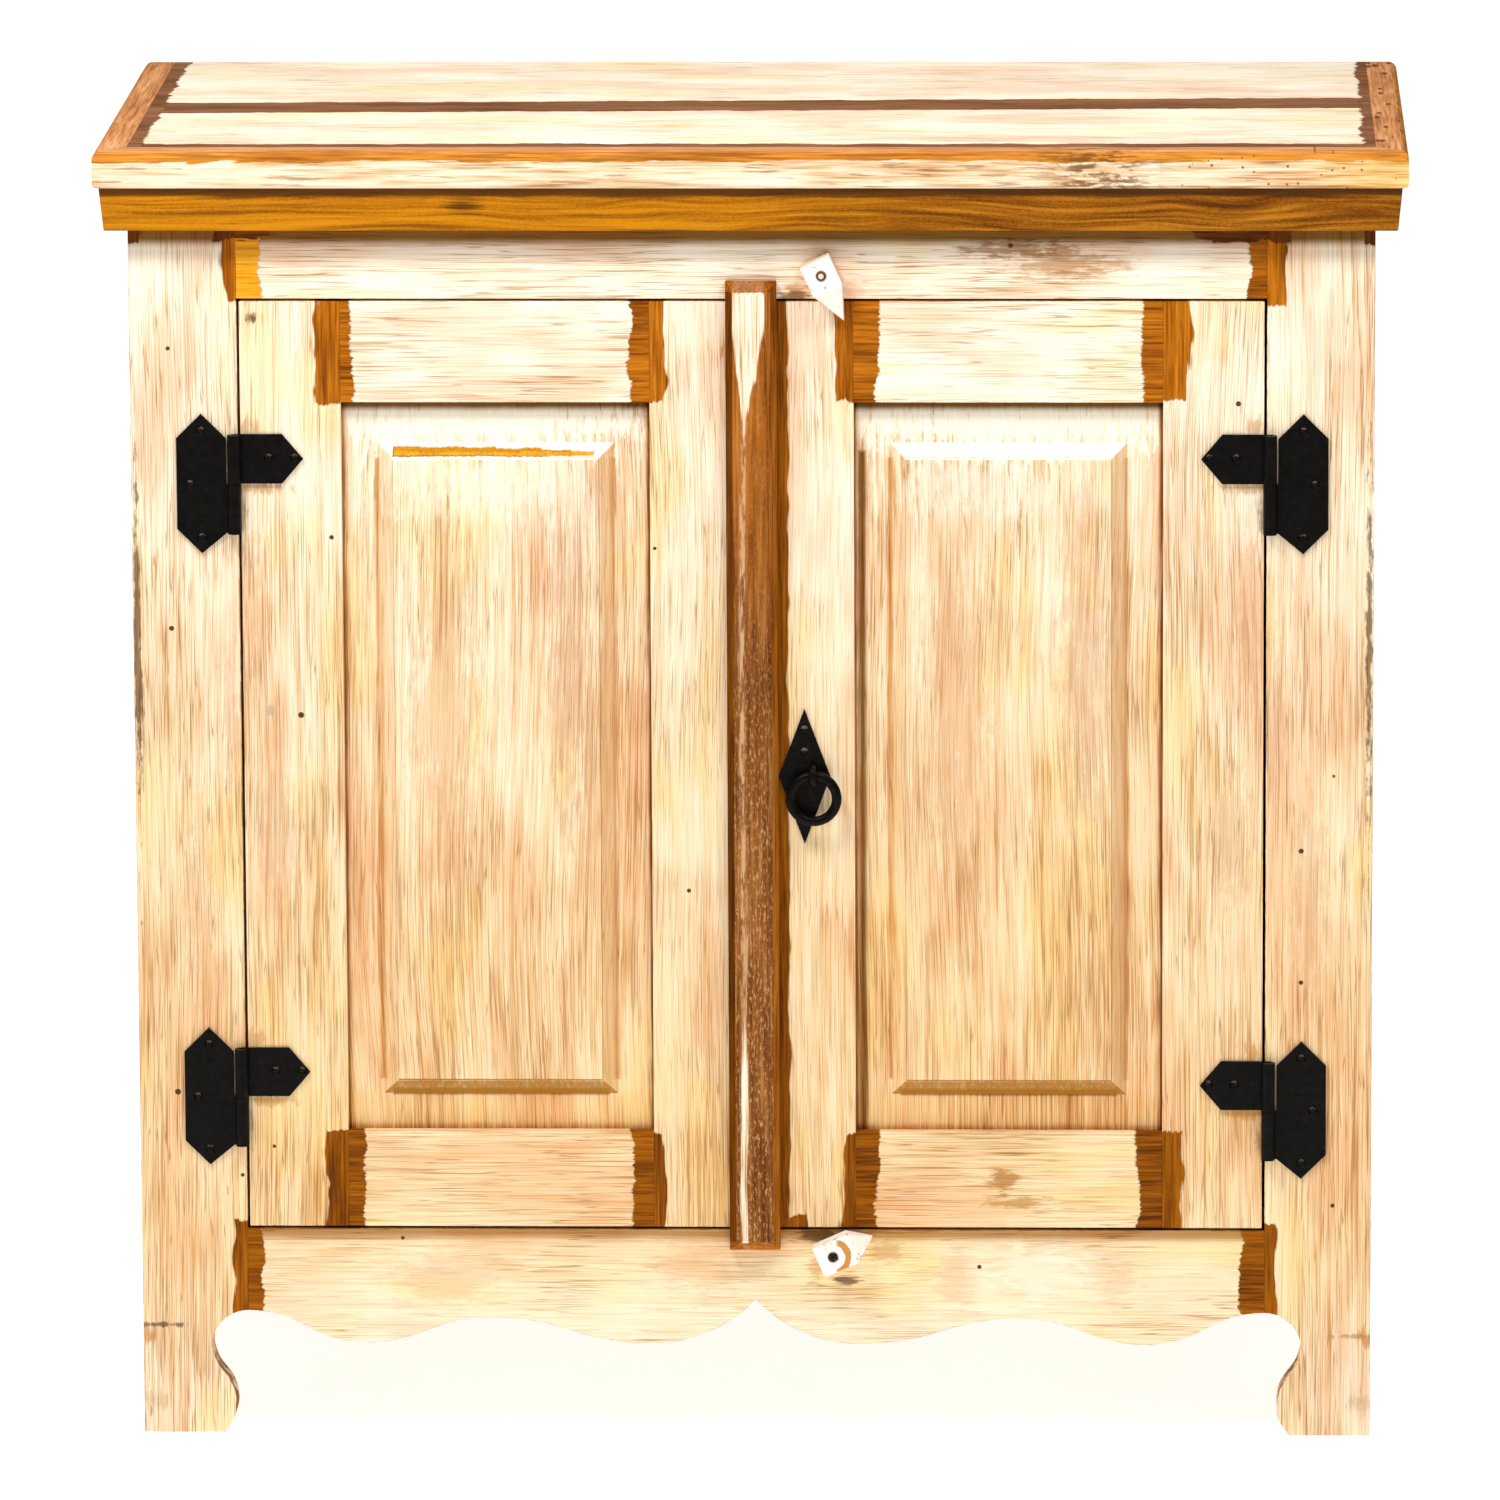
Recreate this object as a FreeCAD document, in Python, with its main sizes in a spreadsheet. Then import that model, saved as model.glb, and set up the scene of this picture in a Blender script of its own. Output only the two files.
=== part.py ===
import FreeCAD, Part
import os
import re
from collections import namedtuple
from math import atan2, sqrt, tau

import Sketcher
from FreeCAD import Placement, Rotation, Vector

# A painted two-door cupboard on scrolled feet. X runs to the right, Y to the back, Z up.
# The origin is on the floor, under the middle of the top.
DIMENSIONS = {
    "top_width": 897.2,
    "top_depth": 450,
    "total_height": 904,
    "top_thickness": 25.8,
    "front_overhang": 22,
    "band_width": 22,
    "band_round_above": 6,
    "band_round_below": 3.5,
    "plank_seam": 205,
    "plank_gap": 1,
    "moulding_height": 29.8,
    "moulding_reach_above": 18,
    "moulding_reach_below": 15.1,
    "carcass_width": 853,
    "stile_width": 73.6,
    "face_thickness": 22,
    "opening_bottom": 146,
    "opening_top": 799.3,
    "cusp_height": 96,
    "inner_lobe_reach": 73,
    "inner_lobe_height": 64.5,
    "swell_reach": 184,
    "swell_height": 83,
    "outer_lobe_reach": 271,
    "outer_lobe_height": 64.5,
    "arch_height": 87.5,
    "throat_width": 48,
    "throat_height": 64,
    "bulge_width": 64.8,
    "bulge_height": 21,
    "sole_width": 55.5,
    "side_thickness": 20,
    "side_rail_width": 69,
    "back_thickness": 12,
    "back_bottom": 92,
    "back_gap": 1.5,
    "floor_top": 158,
    "inner_board_thickness": 18,
    "inner_board_clearance": 1,
    "shelf_top": 488,
    "shelf_setback": 45,
    "cleat_size": 20,
    "cleat_length": 330,
    "back_rail_width": 40,
    "stop_width": 50,
    "stop_drop": 19,
    "stop_inset": 13,
    "door_gap": 1.9,
    "door_thickness": 20,
    "door_stile_width": 69,
    "door_top_rail_width": 70,
    "door_bottom_rail_width": 68,
    "groove_start": 8,
    "groove_width": 8,
    "groove_depth": 8,
    "panel_expansion": 1,
    "panel_border_side": 24.7,
    "panel_border_above": 29,
    "panel_border_below": 25,
    "panel_bevel": 9.5,
    "panel_bevel_depth": 4.5,
    "panel_quirk": 1,
    "astragal_width": 35,
    "astragal_bottom": 133,
    "astragal_top": 812,
    "astragal_thickness": 15,
    "astragal_flat_edge": 6,
    "astragal_bevel": 8,
    "pin_outset": 2.2,
    "pin_forward": 5,
    "pin_radius": 2,
    "pin_clearance": 0.08,
    "barrel_radius": 4.7,
    "barrel_height": 68.8,
    "barrel_split": 0.3,
    "leaf_thickness": 2,
    "leaf_inner": 5.8,
    "leaf_outer": 40,
    "leaf_height": 97,
    "leaf_point": 17,
    "strap_length": 47.2,
    "strap_point": 14.5,
    "strap_screw_near": 23.4,
    "strap_screw_far": 41.5,
    "strap_screw_rise": 18.4,
    "leaf_screw_reach": 30.8,
    "leaf_screw_rise": 37,
    "upper_hinge_height": 671,
    "lower_hinge_height_left": 240.3,
    "lower_hinge_height_right": 232,
    "screw_head_radius": 3.4,
    "screw_shank_radius": 1.6,
    "screw_length": 14,
    "plate_across": 35.6,
    "plate_tall": 94.4,
    "plate_centre": 35.5,
    "plate_middle": 466.7,
    "plate_thickness": 2,
    "eye_across": 41.2,
    "eye_height": 468.8,
    "eye_wire_radius": 2.2,
    "eye_bore_radius": 3.8,
    "ring_across": 41.9,
    "ring_radius": 15.9,
    "ring_wire_radius": 3.4,
    "nail_head_radius": 2.8,
    "nail_dome": 1.3,
    "nail_shank_radius": 0.8,
    "upper_nail_rise": 33,
    "lower_nail_rise": 17.5,
    "button_half_width": 11,
    "button_thickness": 16,
    "button_tip_thickness": 4,
    "button_gap": 0.5,
    "button_bore_radius": 2.1,
    "button_screw_radius": 2,
    "button_head_radius": 3.4,
    "button_head_dome": 1.8,
    "button_screw_bite": 16,
    "top_button_across": 48.5,
    "top_button_height": 817.5,
    "top_button_shoulder": 11,
    "top_button_length": 36.5,
    "top_button_angle": -65,
    "bottom_button_across": 54.3,
    "bottom_button_height": 130.3,
    "bottom_button_shoulder": 14,
    "bottom_button_length": 30,
    "bottom_button_angle": 24,
}

FACE = "(front_overhang - top_depth / 2)"
REAR = "(top_depth / 2)"
SLAB_BOTTOM = "(total_height - top_thickness)"
HALF = "(carcass_width / 2)"
JOINT = f"({HALF} - stile_width)"
INSIDE = f"({HALF} - side_thickness)"
BEHIND_FACE = f"({FACE} + face_thickness)"
BACK_INSIDE = f"({REAR} - back_thickness)"
DOOR_WIDTH = f"({JOINT} - 1.5 * door_gap)"
DOOR_BOTTOM = "(opening_bottom + door_gap)"
DOOR_HEIGHT = "(opening_top - opening_bottom - 2 * door_gap)"
SIDES = {"left": -1, "right": 1}
BACK_BOARD_COUNT = 6
FLOOR_BOARD_COUNT = 3
SHELF_BOARD_COUNT = 2

Corner = namedtuple("Corner", "across up radius bend", defaults=(None, None))

document = FreeCAD.newDocument("painted_cupboard")
sheet = document.addObject("Spreadsheet::Sheet", "Sheet")
for row, (alias, size) in enumerate(DIMENSIONS.items(), start=1):
    sheet.set(f"A{row}", alias)
    sheet.set(f"B{row}", str(size))
    sheet.setAlias(f"B{row}", alias)
document.recompute()
pieces = []


def formula(text):
    """Point every dimension named in a formula at its cell in the sheet."""
    return re.sub(r"[a-z]+(_[a-z]+)+", lambda found: "Sheet." + found.group(), text)


def number(text):
    """Work a formula out, for a sketch's first geometry."""
    return float(sheet.evalExpression(formula(text)))


def place(item, low, turn=None):
    """Tie an object's position to formulas, after any turn it needs."""
    if turn:
        item.Placement = Placement(Vector(), turn)
    for axis, text in zip("xyz", low):
        item.setExpression("Placement.Base." + axis, formula(text))


def keep(item, name):
    """Name an object as one of the cupboard's separate pieces."""
    item.Label = name
    pieces.append(item)
    return item


def box(name, low, size):
    item = document.addObject("Part::Box", name)
    for side, text in zip(("Length", "Width", "Height"), size):
        item.setExpression(side, formula(text))
    place(item, low)
    return item


def board(name, low, size):
    return keep(box(name, low, size), name)


def group(name, members):
    """Keep several separate solids of one kind as a single piece."""
    item = document.addObject("Part::Compound", name)
    item.Links = members
    return keep(item, name)


def boolean(kind, name, base, tool):
    item = document.addObject(f"Part::{kind}", name)
    item.Base = base
    item.Tool = tool
    return item


def arc_between(start, end, radius, bend):
    """Make the short arc from start to end, with its centre to the left for bend 1."""
    chord = end - start
    reach = sqrt(radius ** 2 - (chord.Length / 2) ** 2)
    sideways = Vector(-chord.y, chord.x, 0).normalize() * bend
    centre = start + chord / 2 + sideways * reach
    first, last = (start, end) if bend > 0 else (end, start)
    begin = atan2(first.y - centre.y, first.x - centre.x)
    finish = atan2(last.y - centre.y, last.x - centre.x)
    circle = Part.Circle(centre, Vector(0, 0, 1), radius)
    return Part.ArcOfCircle(circle, begin, finish if finish > begin else finish + tau)


def blank_sketch(body, name, role, offset):
    """Start a sketch on one of a body's own planes, moved along the way that the body grows."""
    sketch = body.newObject("Sketcher::SketchObject", name)
    plane = [feature for feature in body.Origin.OriginFeatures if feature.Role == role][0]
    sketch.AttachmentSupport = [(plane, "")]
    sketch.MapMode = "FlatFace"
    way = "-1" if role == "XZ_Plane" else "1"
    sketch.setExpression("AttachmentOffset.Base.z", formula(f"{way} * ({offset})"))
    return sketch


def dimension(sketch, kind, target, text):
    """Add a dimension to a sketch and tie it to a formula."""
    index = sketch.addConstraint(Sketcher.Constraint(kind, *target, number(text)))
    sketch.setExpression(f"Constraints[{index}]", formula(text))


def draw(body, name, role, loop, offset="0"):
    """Draw a closed outline whose corners and radii all follow the sheet."""
    sketch = blank_sketch(body, name, role, offset)
    corners = [Vector(number(corner.across), number(corner.up), 0) for corner in loop]
    ends = []
    for index, corner in enumerate(loop):
        start = corners[index]
        end = corners[(index + 1) % len(loop)]
        if corner.radius is None:
            edge = sketch.addGeometry(Part.LineSegment(start, end))
            ends.append((edge, 1, 2))
            continue
        arc = arc_between(start, end, number(corner.radius), corner.bend)
        edge = sketch.addGeometry(arc)
        ends.append((edge, 1, 2) if corner.bend > 0 else (edge, 2, 1))
        dimension(sketch, "Radius", (edge,), corner.radius)
    for index, (edge, start, end) in enumerate(ends):
        following, first, last = ends[(index + 1) % len(ends)]
        sketch.addConstraint(Sketcher.Constraint("Coincident", edge, end, following, first))
        dimension(sketch, "DistanceX", (-1, 1, edge, start), loop[index].across)
        dimension(sketch, "DistanceY", (-1, 1, edge, start), loop[index].up)
    return sketch


def draw_circles(body, name, role, centre, radii, offset="0"):
    """Draw circles about one centre, such as a tube's wall."""
    sketch = blank_sketch(body, name, role, offset)
    middle = Vector(number(centre[0]), number(centre[1]), 0)
    for radius in radii:
        edge = sketch.addGeometry(Part.Circle(middle, Vector(0, 0, 1), number(radius)))
        dimension(sketch, "Radius", (edge,), radius)
        dimension(sketch, "DistanceX", (-1, 1, edge, 3), centre[0])
        dimension(sketch, "DistanceY", (-1, 1, edge, 3), centre[1])
    return sketch


def pad(body, sketch, role, length):
    """Thicken a sketch along +X, +Y or +Z."""
    feature = body.newObject("PartDesign::Pad", sketch.Name + "_pad")
    feature.Profile = sketch
    feature.Reversed = role == "XZ_Plane"
    feature.setExpression("Length", formula(length))
    return feature


def new_body(name, low=("0", "0", "0"), turn=None):
    body = document.addObject("PartDesign::Body", name)
    place(body, low, turn)
    return body


def extrusion(name, role, loop, length, low=("0", "0", "0"), turn=None):
    """Make a body from one outline of even thickness."""
    body = new_body(name, low, turn)
    pad(body, draw(body, name + "_outline", role, loop), role, length)
    return body


def rectangle(half_across, half_up, across="0", up="0"):
    """Return a rectangle's corners about a middle."""
    signs = ((-1, -1), (1, -1), (1, 1), (-1, 1))
    return [Corner(f"{across} + {h} * {half_across}", f"{up} + {v} * {half_up}") for h, v in signs]


def polygon(points):
    return [Corner(across, up) for across, up in points]


def ogee_radius(run, rise):
    """Radius of the two equal arcs that join a crest to a hollow, level at both."""
    return f"(({run}) ^ 2 + ({rise}) ^ 2) / (4 * ({rise}))"


def level_arc_radius(run, rise):
    """Radius of one arc that starts level and ends run across and rise up or down."""
    return f"(({run}) ^ 2 + ({rise}) ^ 2) / (2 * ({rise}))"


# --- Front frame -----------------------------------------------------------------------------


def foot_outline(outer, sign, heel):
    """Outline a stile with its scrolled foot, from its outer edge inwards."""
    def at(width):
        return f"{outer} + {sign} * ({width})"

    drop = "arch_height - throat_height"
    swell = "bulge_width - throat_width"
    ogee = ogee_radius("throat_height - bulge_height", swell)
    middle_width = "(throat_width + bulge_width) / 2"
    middle_height = "(throat_height + bulge_height) / 2"
    arch = level_arc_radius("stile_width - throat_width", drop)
    toe = level_arc_radius("bulge_height", "bulge_width - sole_width")
    return [
        Corner(at("stile_width"), SLAB_BOTTOM),
        Corner(at("stile_width"), "arch_height", arch, sign),
        Corner(at("throat_width"), "throat_height", ogee, sign),
        Corner(at(middle_width), middle_height, ogee, -sign),
        Corner(at("bulge_width"), "bulge_height", toe, -sign),
        Corner(at("sole_width"), "0"),
        Corner(at(heel), "0"),
        Corner(at(heel), SLAB_BOTTOM),
    ]


def apron_outline():
    """Outline the apron: a cusp in the middle and two lobes to each side of it."""
    cusp_arc = level_arc_radius("inner_lobe_reach", "cusp_height - inner_lobe_height")
    half = [Corner("0", "cusp_height", cusp_arc, 1)]
    stations = (
        ("inner_lobe_reach", "inner_lobe_height"),
        ("swell_reach", "swell_height"),
        ("outer_lobe_reach", "outer_lobe_height"),
        (JOINT, "arch_height"),
    )
    bend = 1
    for (near, near_height), (far, far_height) in zip(stations, stations[1:]):
        rise = f"{far_height} - {near_height}" if bend > 0 else f"{near_height} - {far_height}"
        radius = ogee_radius(f"{far} - {near}", rise)
        half.append(Corner(near, near_height, radius, bend))
        half.append(Corner(f"({near} + {far}) / 2", f"({near_height} + {far_height}) / 2", radius, -bend))
        bend = -bend
    half.append(Corner(JOINT, "arch_height"))
    other = []
    for index in range(len(half) - 1, 0, -1):
        edge = half[index - 1]
        other.append(Corner(f"-({half[index].across})", half[index].up, edge.radius, edge.bend))
    upper = [Corner(JOINT, "opening_bottom"), Corner(f"-{JOINT}", "opening_bottom")]
    return other + half + upper


def front_frame():
    for side, sign in SIDES.items():
        name = f"front_stile_{side}"
        outline = foot_outline(f"{sign} * {HALF}", -sign, "0")
        keep(extrusion(name, "XZ_Plane", outline, "face_thickness", ("0", FACE, "0")), name)
    apron = extrusion("front_apron", "XZ_Plane", apron_outline(), "face_thickness", ("0", FACE, "0"))
    keep(apron, "front_apron")
    rail_size = (f"2 * {JOINT}", "face_thickness", f"{SLAB_BOTTOM} - opening_top")
    board("front_top_rail", (f"-{JOINT}", FACE, "opening_top"), rail_size)


# --- Grooved frames and raised panels --------------------------------------------------------


def grooved_edge(base, edge, step, depth_sign=1):
    """Return (along, depth) points of a section whose edge has a groove for a panel."""
    near = f"{depth_sign} * groove_start"
    far = f"{depth_sign} * (groove_start + groove_width)"
    back = f"{depth_sign} * door_thickness"
    floor = f"{edge} + {step} * groove_depth"
    groove = [(edge, far), (floor, far), (floor, near), (edge, near)]
    return [(base, "0"), (base, back), (edge, back)] + groove + [(edge, "0")]


def grooved_rail(name, role, low, length, width, groove_above, depth_sign=1):
    """Make a rail with a groove along its panel edge and a stub tenon at each end."""
    base, edge, step = ("0", width, -1) if groove_above else (width, "0", 1)
    body = new_body(name, low)
    section = [Corner(depth, along) for along, depth in grooved_edge(base, edge, step, depth_sign)]
    pad(body, draw(body, name + "_section", role, section), role, length)
    middle_depth = f"{depth_sign} * (groove_start + groove_width / 2)"
    tenon_half = f"({width} - groove_depth) / 2"
    tenon_middle = tenon_half if groove_above else f"{width} - {tenon_half}"
    tenon = rectangle("groove_width / 2", tenon_half, middle_depth, tenon_middle)
    sketch = draw(body, name + "_tenon", role, tenon, "-groove_depth")
    pad(body, sketch, role, f"{length} + 2 * groove_depth")
    return keep(body, name)


def raised_panel(name, middle, width, height, turn=None):
    """Make a panel whose tongue fits the grooves, with a bevelled and quirked field."""
    role = "XZ_Plane"
    body = new_body(name, middle, turn)
    tongue = "(groove_depth - panel_expansion)"
    half_width = f"({width}) / 2"
    half_height = f"({height}) / 2"
    plate = rectangle(f"({half_width} + {tongue})", f"({half_height} + {tongue})")
    pad(body, draw(body, name + "_plate", role, plate, "groove_start"), role, "groove_width")
    shift = "(panel_border_below - panel_border_above) / 2"
    outer_half_width = f"({half_width} - panel_border_side)"
    outer_half_height = f"({half_height} - (panel_border_below + panel_border_above) / 2)"
    foot = rectangle(outer_half_width, outer_half_height, "0", shift)
    crest_half_width = f"({outer_half_width} - panel_bevel)"
    crest_half_height = f"({outer_half_height} - panel_bevel)"
    crest = rectangle(crest_half_width, crest_half_height, "0", shift)
    field_half_width = f"({crest_half_width} - panel_quirk)"
    field_half_height = f"({crest_half_height} - panel_quirk)"
    field = rectangle(field_half_width, field_half_height, "0", shift)
    crest_depth = "groove_start - panel_bevel_depth"
    bevel = body.newObject("PartDesign::AdditiveLoft", name + "_bevel")
    bevel.Profile = draw(body, name + "_bevel_foot", role, foot, "groove_start")
    bevel.Sections = [draw(body, name + "_bevel_crest", role, crest, crest_depth)]
    bevel.Ruled = True
    raised = draw(body, name + "_field", role, field, f"{crest_depth} - panel_quirk")
    pad(body, raised, role, "panel_quirk")
    return keep(body, name)


def side_frame(side, sign):
    """Build one end of the carcass: two stiles, two rails and a raised panel."""
    outer_face = f"{sign} * {HALF}"
    groove_middle = f"{sign} * ({HALF} - groove_start - groove_width / 2)"
    low_face = outer_face if sign < 0 else INSIDE
    groove_height = f"{SLAB_BOTTOM} - arch_height"
    near_edge = f"({FACE} + stile_width)"
    far_edge = f"({REAR} - stile_width)"
    stiles = (
        ("front", FACE, 1, "face_thickness", f"{near_edge} - groove_depth"),
        ("rear", REAR, -1, "back_thickness", far_edge),
    )
    for place_name, outer, way, heel, groove_low in stiles:
        name = f"side_{place_name}_stile_{side}"
        outline = foot_outline(outer, way, heel)
        blank = extrusion(name + "_blank", "YZ_Plane", outline, "side_thickness", (low_face, "0", "0"))
        groove_size = ("groove_width", "groove_depth", groove_height)
        groove_start = (f"{groove_middle} - groove_width / 2", groove_low, "arch_height")
        groove = box(name + "_groove", groove_start, groove_size)
        keep(boolean("Cut", name, blank, groove), name)
    span = f"({far_edge} - {near_edge})"
    bottom = "arch_height"
    top = f"{SLAB_BOTTOM} - side_rail_width"
    for level, height, groove_above in (("bottom", bottom, True), ("top", top, False)):
        name = f"side_{level}_rail_{side}"
        low = (outer_face, near_edge, height)
        grooved_rail(name, "XZ_Plane", low, span, "side_rail_width", groove_above, -sign)
    panel_bottom = "(arch_height + side_rail_width)"
    panel_top = f"({SLAB_BOTTOM} - side_rail_width)"
    middle = (outer_face, f"({near_edge} + {far_edge}) / 2", f"({panel_bottom} + {panel_top}) / 2")
    turn = Rotation(Vector(0, 0, 1), 90 * sign)
    raised_panel(f"side_panel_{side}", middle, span, f"{panel_top} - {panel_bottom}", turn)


def door_frame(side, sign):
    """Build one door's stiles, rails and panel; its hinge edge is one gap inside the opening."""
    hinge_edge = f"{sign} * ({JOINT} - door_gap)"
    free_edge = f"{sign} * (door_gap / 2)"
    role = "XY_Plane"
    for part, edge, way in (("hinge", hinge_edge, -sign), ("meeting", free_edge, sign)):
        name = f"door_{side}_{part}_stile"
        section = grooved_edge("0", f"{way} * door_stile_width", -way)
        loop = [Corner(along, depth) for along, depth in section]
        keep(extrusion(name, role, loop, DOOR_HEIGHT, (edge, FACE, DOOR_BOTTOM)), name)
    span = f"({DOOR_WIDTH} - 2 * door_stile_width)"
    middle_across = f"{sign} * (door_gap / 2 + {DOOR_WIDTH} / 2)"
    rail_start = f"{middle_across} - {span} / 2"
    top_start = f"({DOOR_BOTTOM} + {DOOR_HEIGHT} - door_top_rail_width)"
    rails = (
        ("bottom", DOOR_BOTTOM, "door_bottom_rail_width", True),
        ("top", top_start, "door_top_rail_width", False),
    )
    for level, height, width, groove_above in rails:
        low = (rail_start, FACE, height)
        grooved_rail(f"door_{side}_{level}_rail", "YZ_Plane", low, span, width, groove_above)
    panel_bottom = f"({DOOR_BOTTOM} + door_bottom_rail_width)"
    middle = (middle_across, FACE, f"({panel_bottom} + {top_start}) / 2")
    raised_panel(f"door_{side}_panel", middle, span, f"{top_start} - {panel_bottom}")


# --- Top and mouldings -----------------------------------------------------------------------


def mitred(name, section_body, plan_body):
    """Keep what a moulding's section and its mitred plan have in common."""
    return keep(boolean("Common", name, section_body, plan_body), name)


def band_section(outer, way):
    """Section of a top's edge band: rounded above and below on its outer side."""
    above, below = "band_round_above", "band_round_below"
    inner = f"{outer} + {way} * band_width"
    return [
        Corner(inner, SLAB_BOTTOM),
        Corner(inner, "total_height"),
        Corner(f"{outer} + {way} * {above}", "total_height", above, way),
        Corner(outer, f"total_height - {above}"),
        Corner(outer, f"{SLAB_BOTTOM} + {below}", below, way),
        Corner(f"{outer} + {way} * {below}", SLAB_BOTTOM),
    ]


def moulding_section(inner, way):
    """Section of the moulding under the top: it leans in towards its lower edge."""
    low = f"{SLAB_BOTTOM} - moulding_height"
    outer_above = f"{inner} - {way} * moulding_reach_above"
    outer_below = f"{inner} - {way} * moulding_reach_below"
    return polygon([(inner, low), (inner, SLAB_BOTTOM), (outer_above, SLAB_BOTTOM), (outer_below, low)])


def surround(prefix, section, outer_half, front, depth):
    """Run one section across the front and along both ends, with mitred front corners."""
    inner_half = f"({outer_half} - {depth})"
    inner_front = f"({front} + {depth})"
    low = f"{SLAB_BOTTOM} - moulding_height"
    tall = "top_thickness + moulding_height"
    left_end = (f"-{outer_half}", "0", "0")
    front_bar = extrusion(f"{prefix}_front_bar", "YZ_Plane", section[0], f"2 * {outer_half}", left_end)
    front_plan = [(f"-{outer_half}", front), (outer_half, front)]
    front_plan += [(inner_half, inner_front), (f"-{inner_half}", inner_front)]
    plan = extrusion(f"{prefix}_front_plan", "XY_Plane", polygon(front_plan), tall, ("0", "0", low))
    mitred(f"{prefix}_front", front_bar, plan)
    for side, sign in SIDES.items():
        length = f"{REAR} - {front}"
        bar = extrusion(f"{prefix}_{side}_bar", "XZ_Plane", section[sign], length, ("0", front, "0"))
        outer, inner = f"{sign} * {outer_half}", f"{sign} * {inner_half}"
        side_plan = [(outer, front), (outer, REAR), (inner, REAR), (inner, inner_front)]
        plan = extrusion(f"{prefix}_{side}_plan", "XY_Plane", polygon(side_plan), tall, ("0", "0", low))
        mitred(f"{prefix}_{side}", bar, plan)


def top():
    half_top = "(top_width / 2)"
    front = f"(-{REAR})"
    bands = {0: band_section(front, 1), -1: band_section(f"-{half_top}", 1), 1: band_section(half_top, -1)}
    surround("top_edge", bands, half_top, front, "band_width")
    mouldings = {
        0: moulding_section(FACE, 1),
        -1: moulding_section(f"-{HALF}", 1),
        1: moulding_section(HALF, -1),
    }
    moulding_half = f"({HALF} + moulding_reach_above)"
    moulding_front = f"({FACE} - moulding_reach_above)"
    surround("under_moulding", mouldings, moulding_half, moulding_front, "moulding_reach_above")
    plank_half = f"({half_top} - band_width)"
    plank_front = f"({front} + band_width)"
    seam = f"({FACE} + plank_seam)"
    for place_name, start, end in (
        ("front", plank_front, f"({seam} - plank_gap / 2)"),
        ("rear", f"({seam} + plank_gap / 2)", REAR),
    ):
        low = (f"-{plank_half}", start, SLAB_BOTTOM)
        board(f"top_plank_{place_name}", low, (f"2 * {plank_half}", f"{end} - {start}", "top_thickness"))


# --- Inside and back -------------------------------------------------------------------------


def row_of_boards(name, count, along, low, size, gap):
    """Lay boards side by side along one axis, as one group."""
    boards = []
    for index in range(count):
        pitch = f"(({size[along]}) / {count})"
        start = list(low)
        start[along] = f"{low[along]} + {index} * {pitch} + {gap} / 2"
        measure = list(size)
        measure[along] = f"{pitch} - {gap}"
        boards.append(box(f"{name}_{index + 1}", start, measure))
    return group(name, boards)


def inside():
    inner_half = f"({INSIDE} - inner_board_clearance)"
    back_height = f"{SLAB_BOTTOM} - back_bottom"
    back_low = (f"-{HALF}", BACK_INSIDE, "back_bottom")
    back_size = (f"2 * {HALF}", "back_thickness", back_height)
    row_of_boards("back_boards", BACK_BOARD_COUNT, 0, back_low, back_size, "back_gap")
    floor_low = (f"-{inner_half}", BEHIND_FACE, "floor_top - inner_board_thickness")
    floor_size = (f"2 * {inner_half}", f"{BACK_INSIDE} - {BEHIND_FACE}", "inner_board_thickness")
    row_of_boards("floor_boards", FLOOR_BOARD_COUNT, 1, floor_low, floor_size, "plank_gap")
    shelf_front = f"({BEHIND_FACE} + shelf_setback)"
    shelf_low = (f"-{inner_half}", shelf_front, "shelf_top - inner_board_thickness")
    shelf_size = (f"2 * {inner_half}", f"{BACK_INSIDE} - {shelf_front}", "inner_board_thickness")
    row_of_boards("shelf_boards", SHELF_BOARD_COUNT, 1, shelf_low, shelf_size, "plank_gap")
    rail_front = f"{BACK_INSIDE} - cleat_size"
    rail_size = (f"2 * {INSIDE}", "cleat_size", "back_rail_width")
    board("back_top_rail", (f"-{INSIDE}", rail_front, f"{SLAB_BOTTOM} - back_rail_width"), rail_size)
    low_rail_bottom = "floor_top - inner_board_thickness - back_rail_width"
    board("back_bottom_rail", (f"-{INSIDE}", rail_front, low_rail_bottom), rail_size)
    cleats = []
    cleat_front = f"({BEHIND_FACE} + cleat_size)"
    levels = {
        "floor": "floor_top - inner_board_thickness - cleat_size",
        "shelf": "shelf_top - inner_board_thickness - cleat_size",
        "top": f"{SLAB_BOTTOM} - cleat_size",
    }
    for level, height in levels.items():
        for side, across in (("left", f"-{INSIDE}"), ("right", f"{INSIDE} - cleat_size")):
            size = ("cleat_size", "cleat_length", "cleat_size")
            cleats.append(box(f"{level}_cleat_{side}", (across, cleat_front, height), size))
    group("cleats", cleats)
    stop_half = f"({JOINT} - stop_inset)"
    stop_low = (f"-{stop_half}", BEHIND_FACE, "opening_top - stop_drop")
    board("door_stop_strip", stop_low, (f"2 * {stop_half}", "cleat_size", "stop_width"))


# --- Hinges ----------------------------------------------------------------------------------


def screw(name, head_front, head_radius, shank_radius, length, low, dome=None):
    """Turn a screw or nail about Y: a flush cone head, or a domed one that stands proud."""
    body = new_body(name, low)
    if dome:
        radius = level_arc_radius(head_radius, dome)
        head = [Corner(f"-({dome})", "0", radius, -1), Corner("0", head_radius), Corner("0", shank_radius)]
    else:
        rim = f"-({head_front})"
        head = [Corner(rim, "0"), Corner(rim, head_radius), Corner("0", shank_radius)]
    shank = [Corner(length, shank_radius), Corner(length, "0")]
    sketch = draw(body, name + "_half", "YZ_Plane", head + shank)
    turned = body.newObject("PartDesign::Revolution", name + "_turned")
    turned.Profile = sketch
    turned.ReferenceAxis = (sketch, ["H_Axis"])
    turned.Angle = 360
    return body


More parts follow.
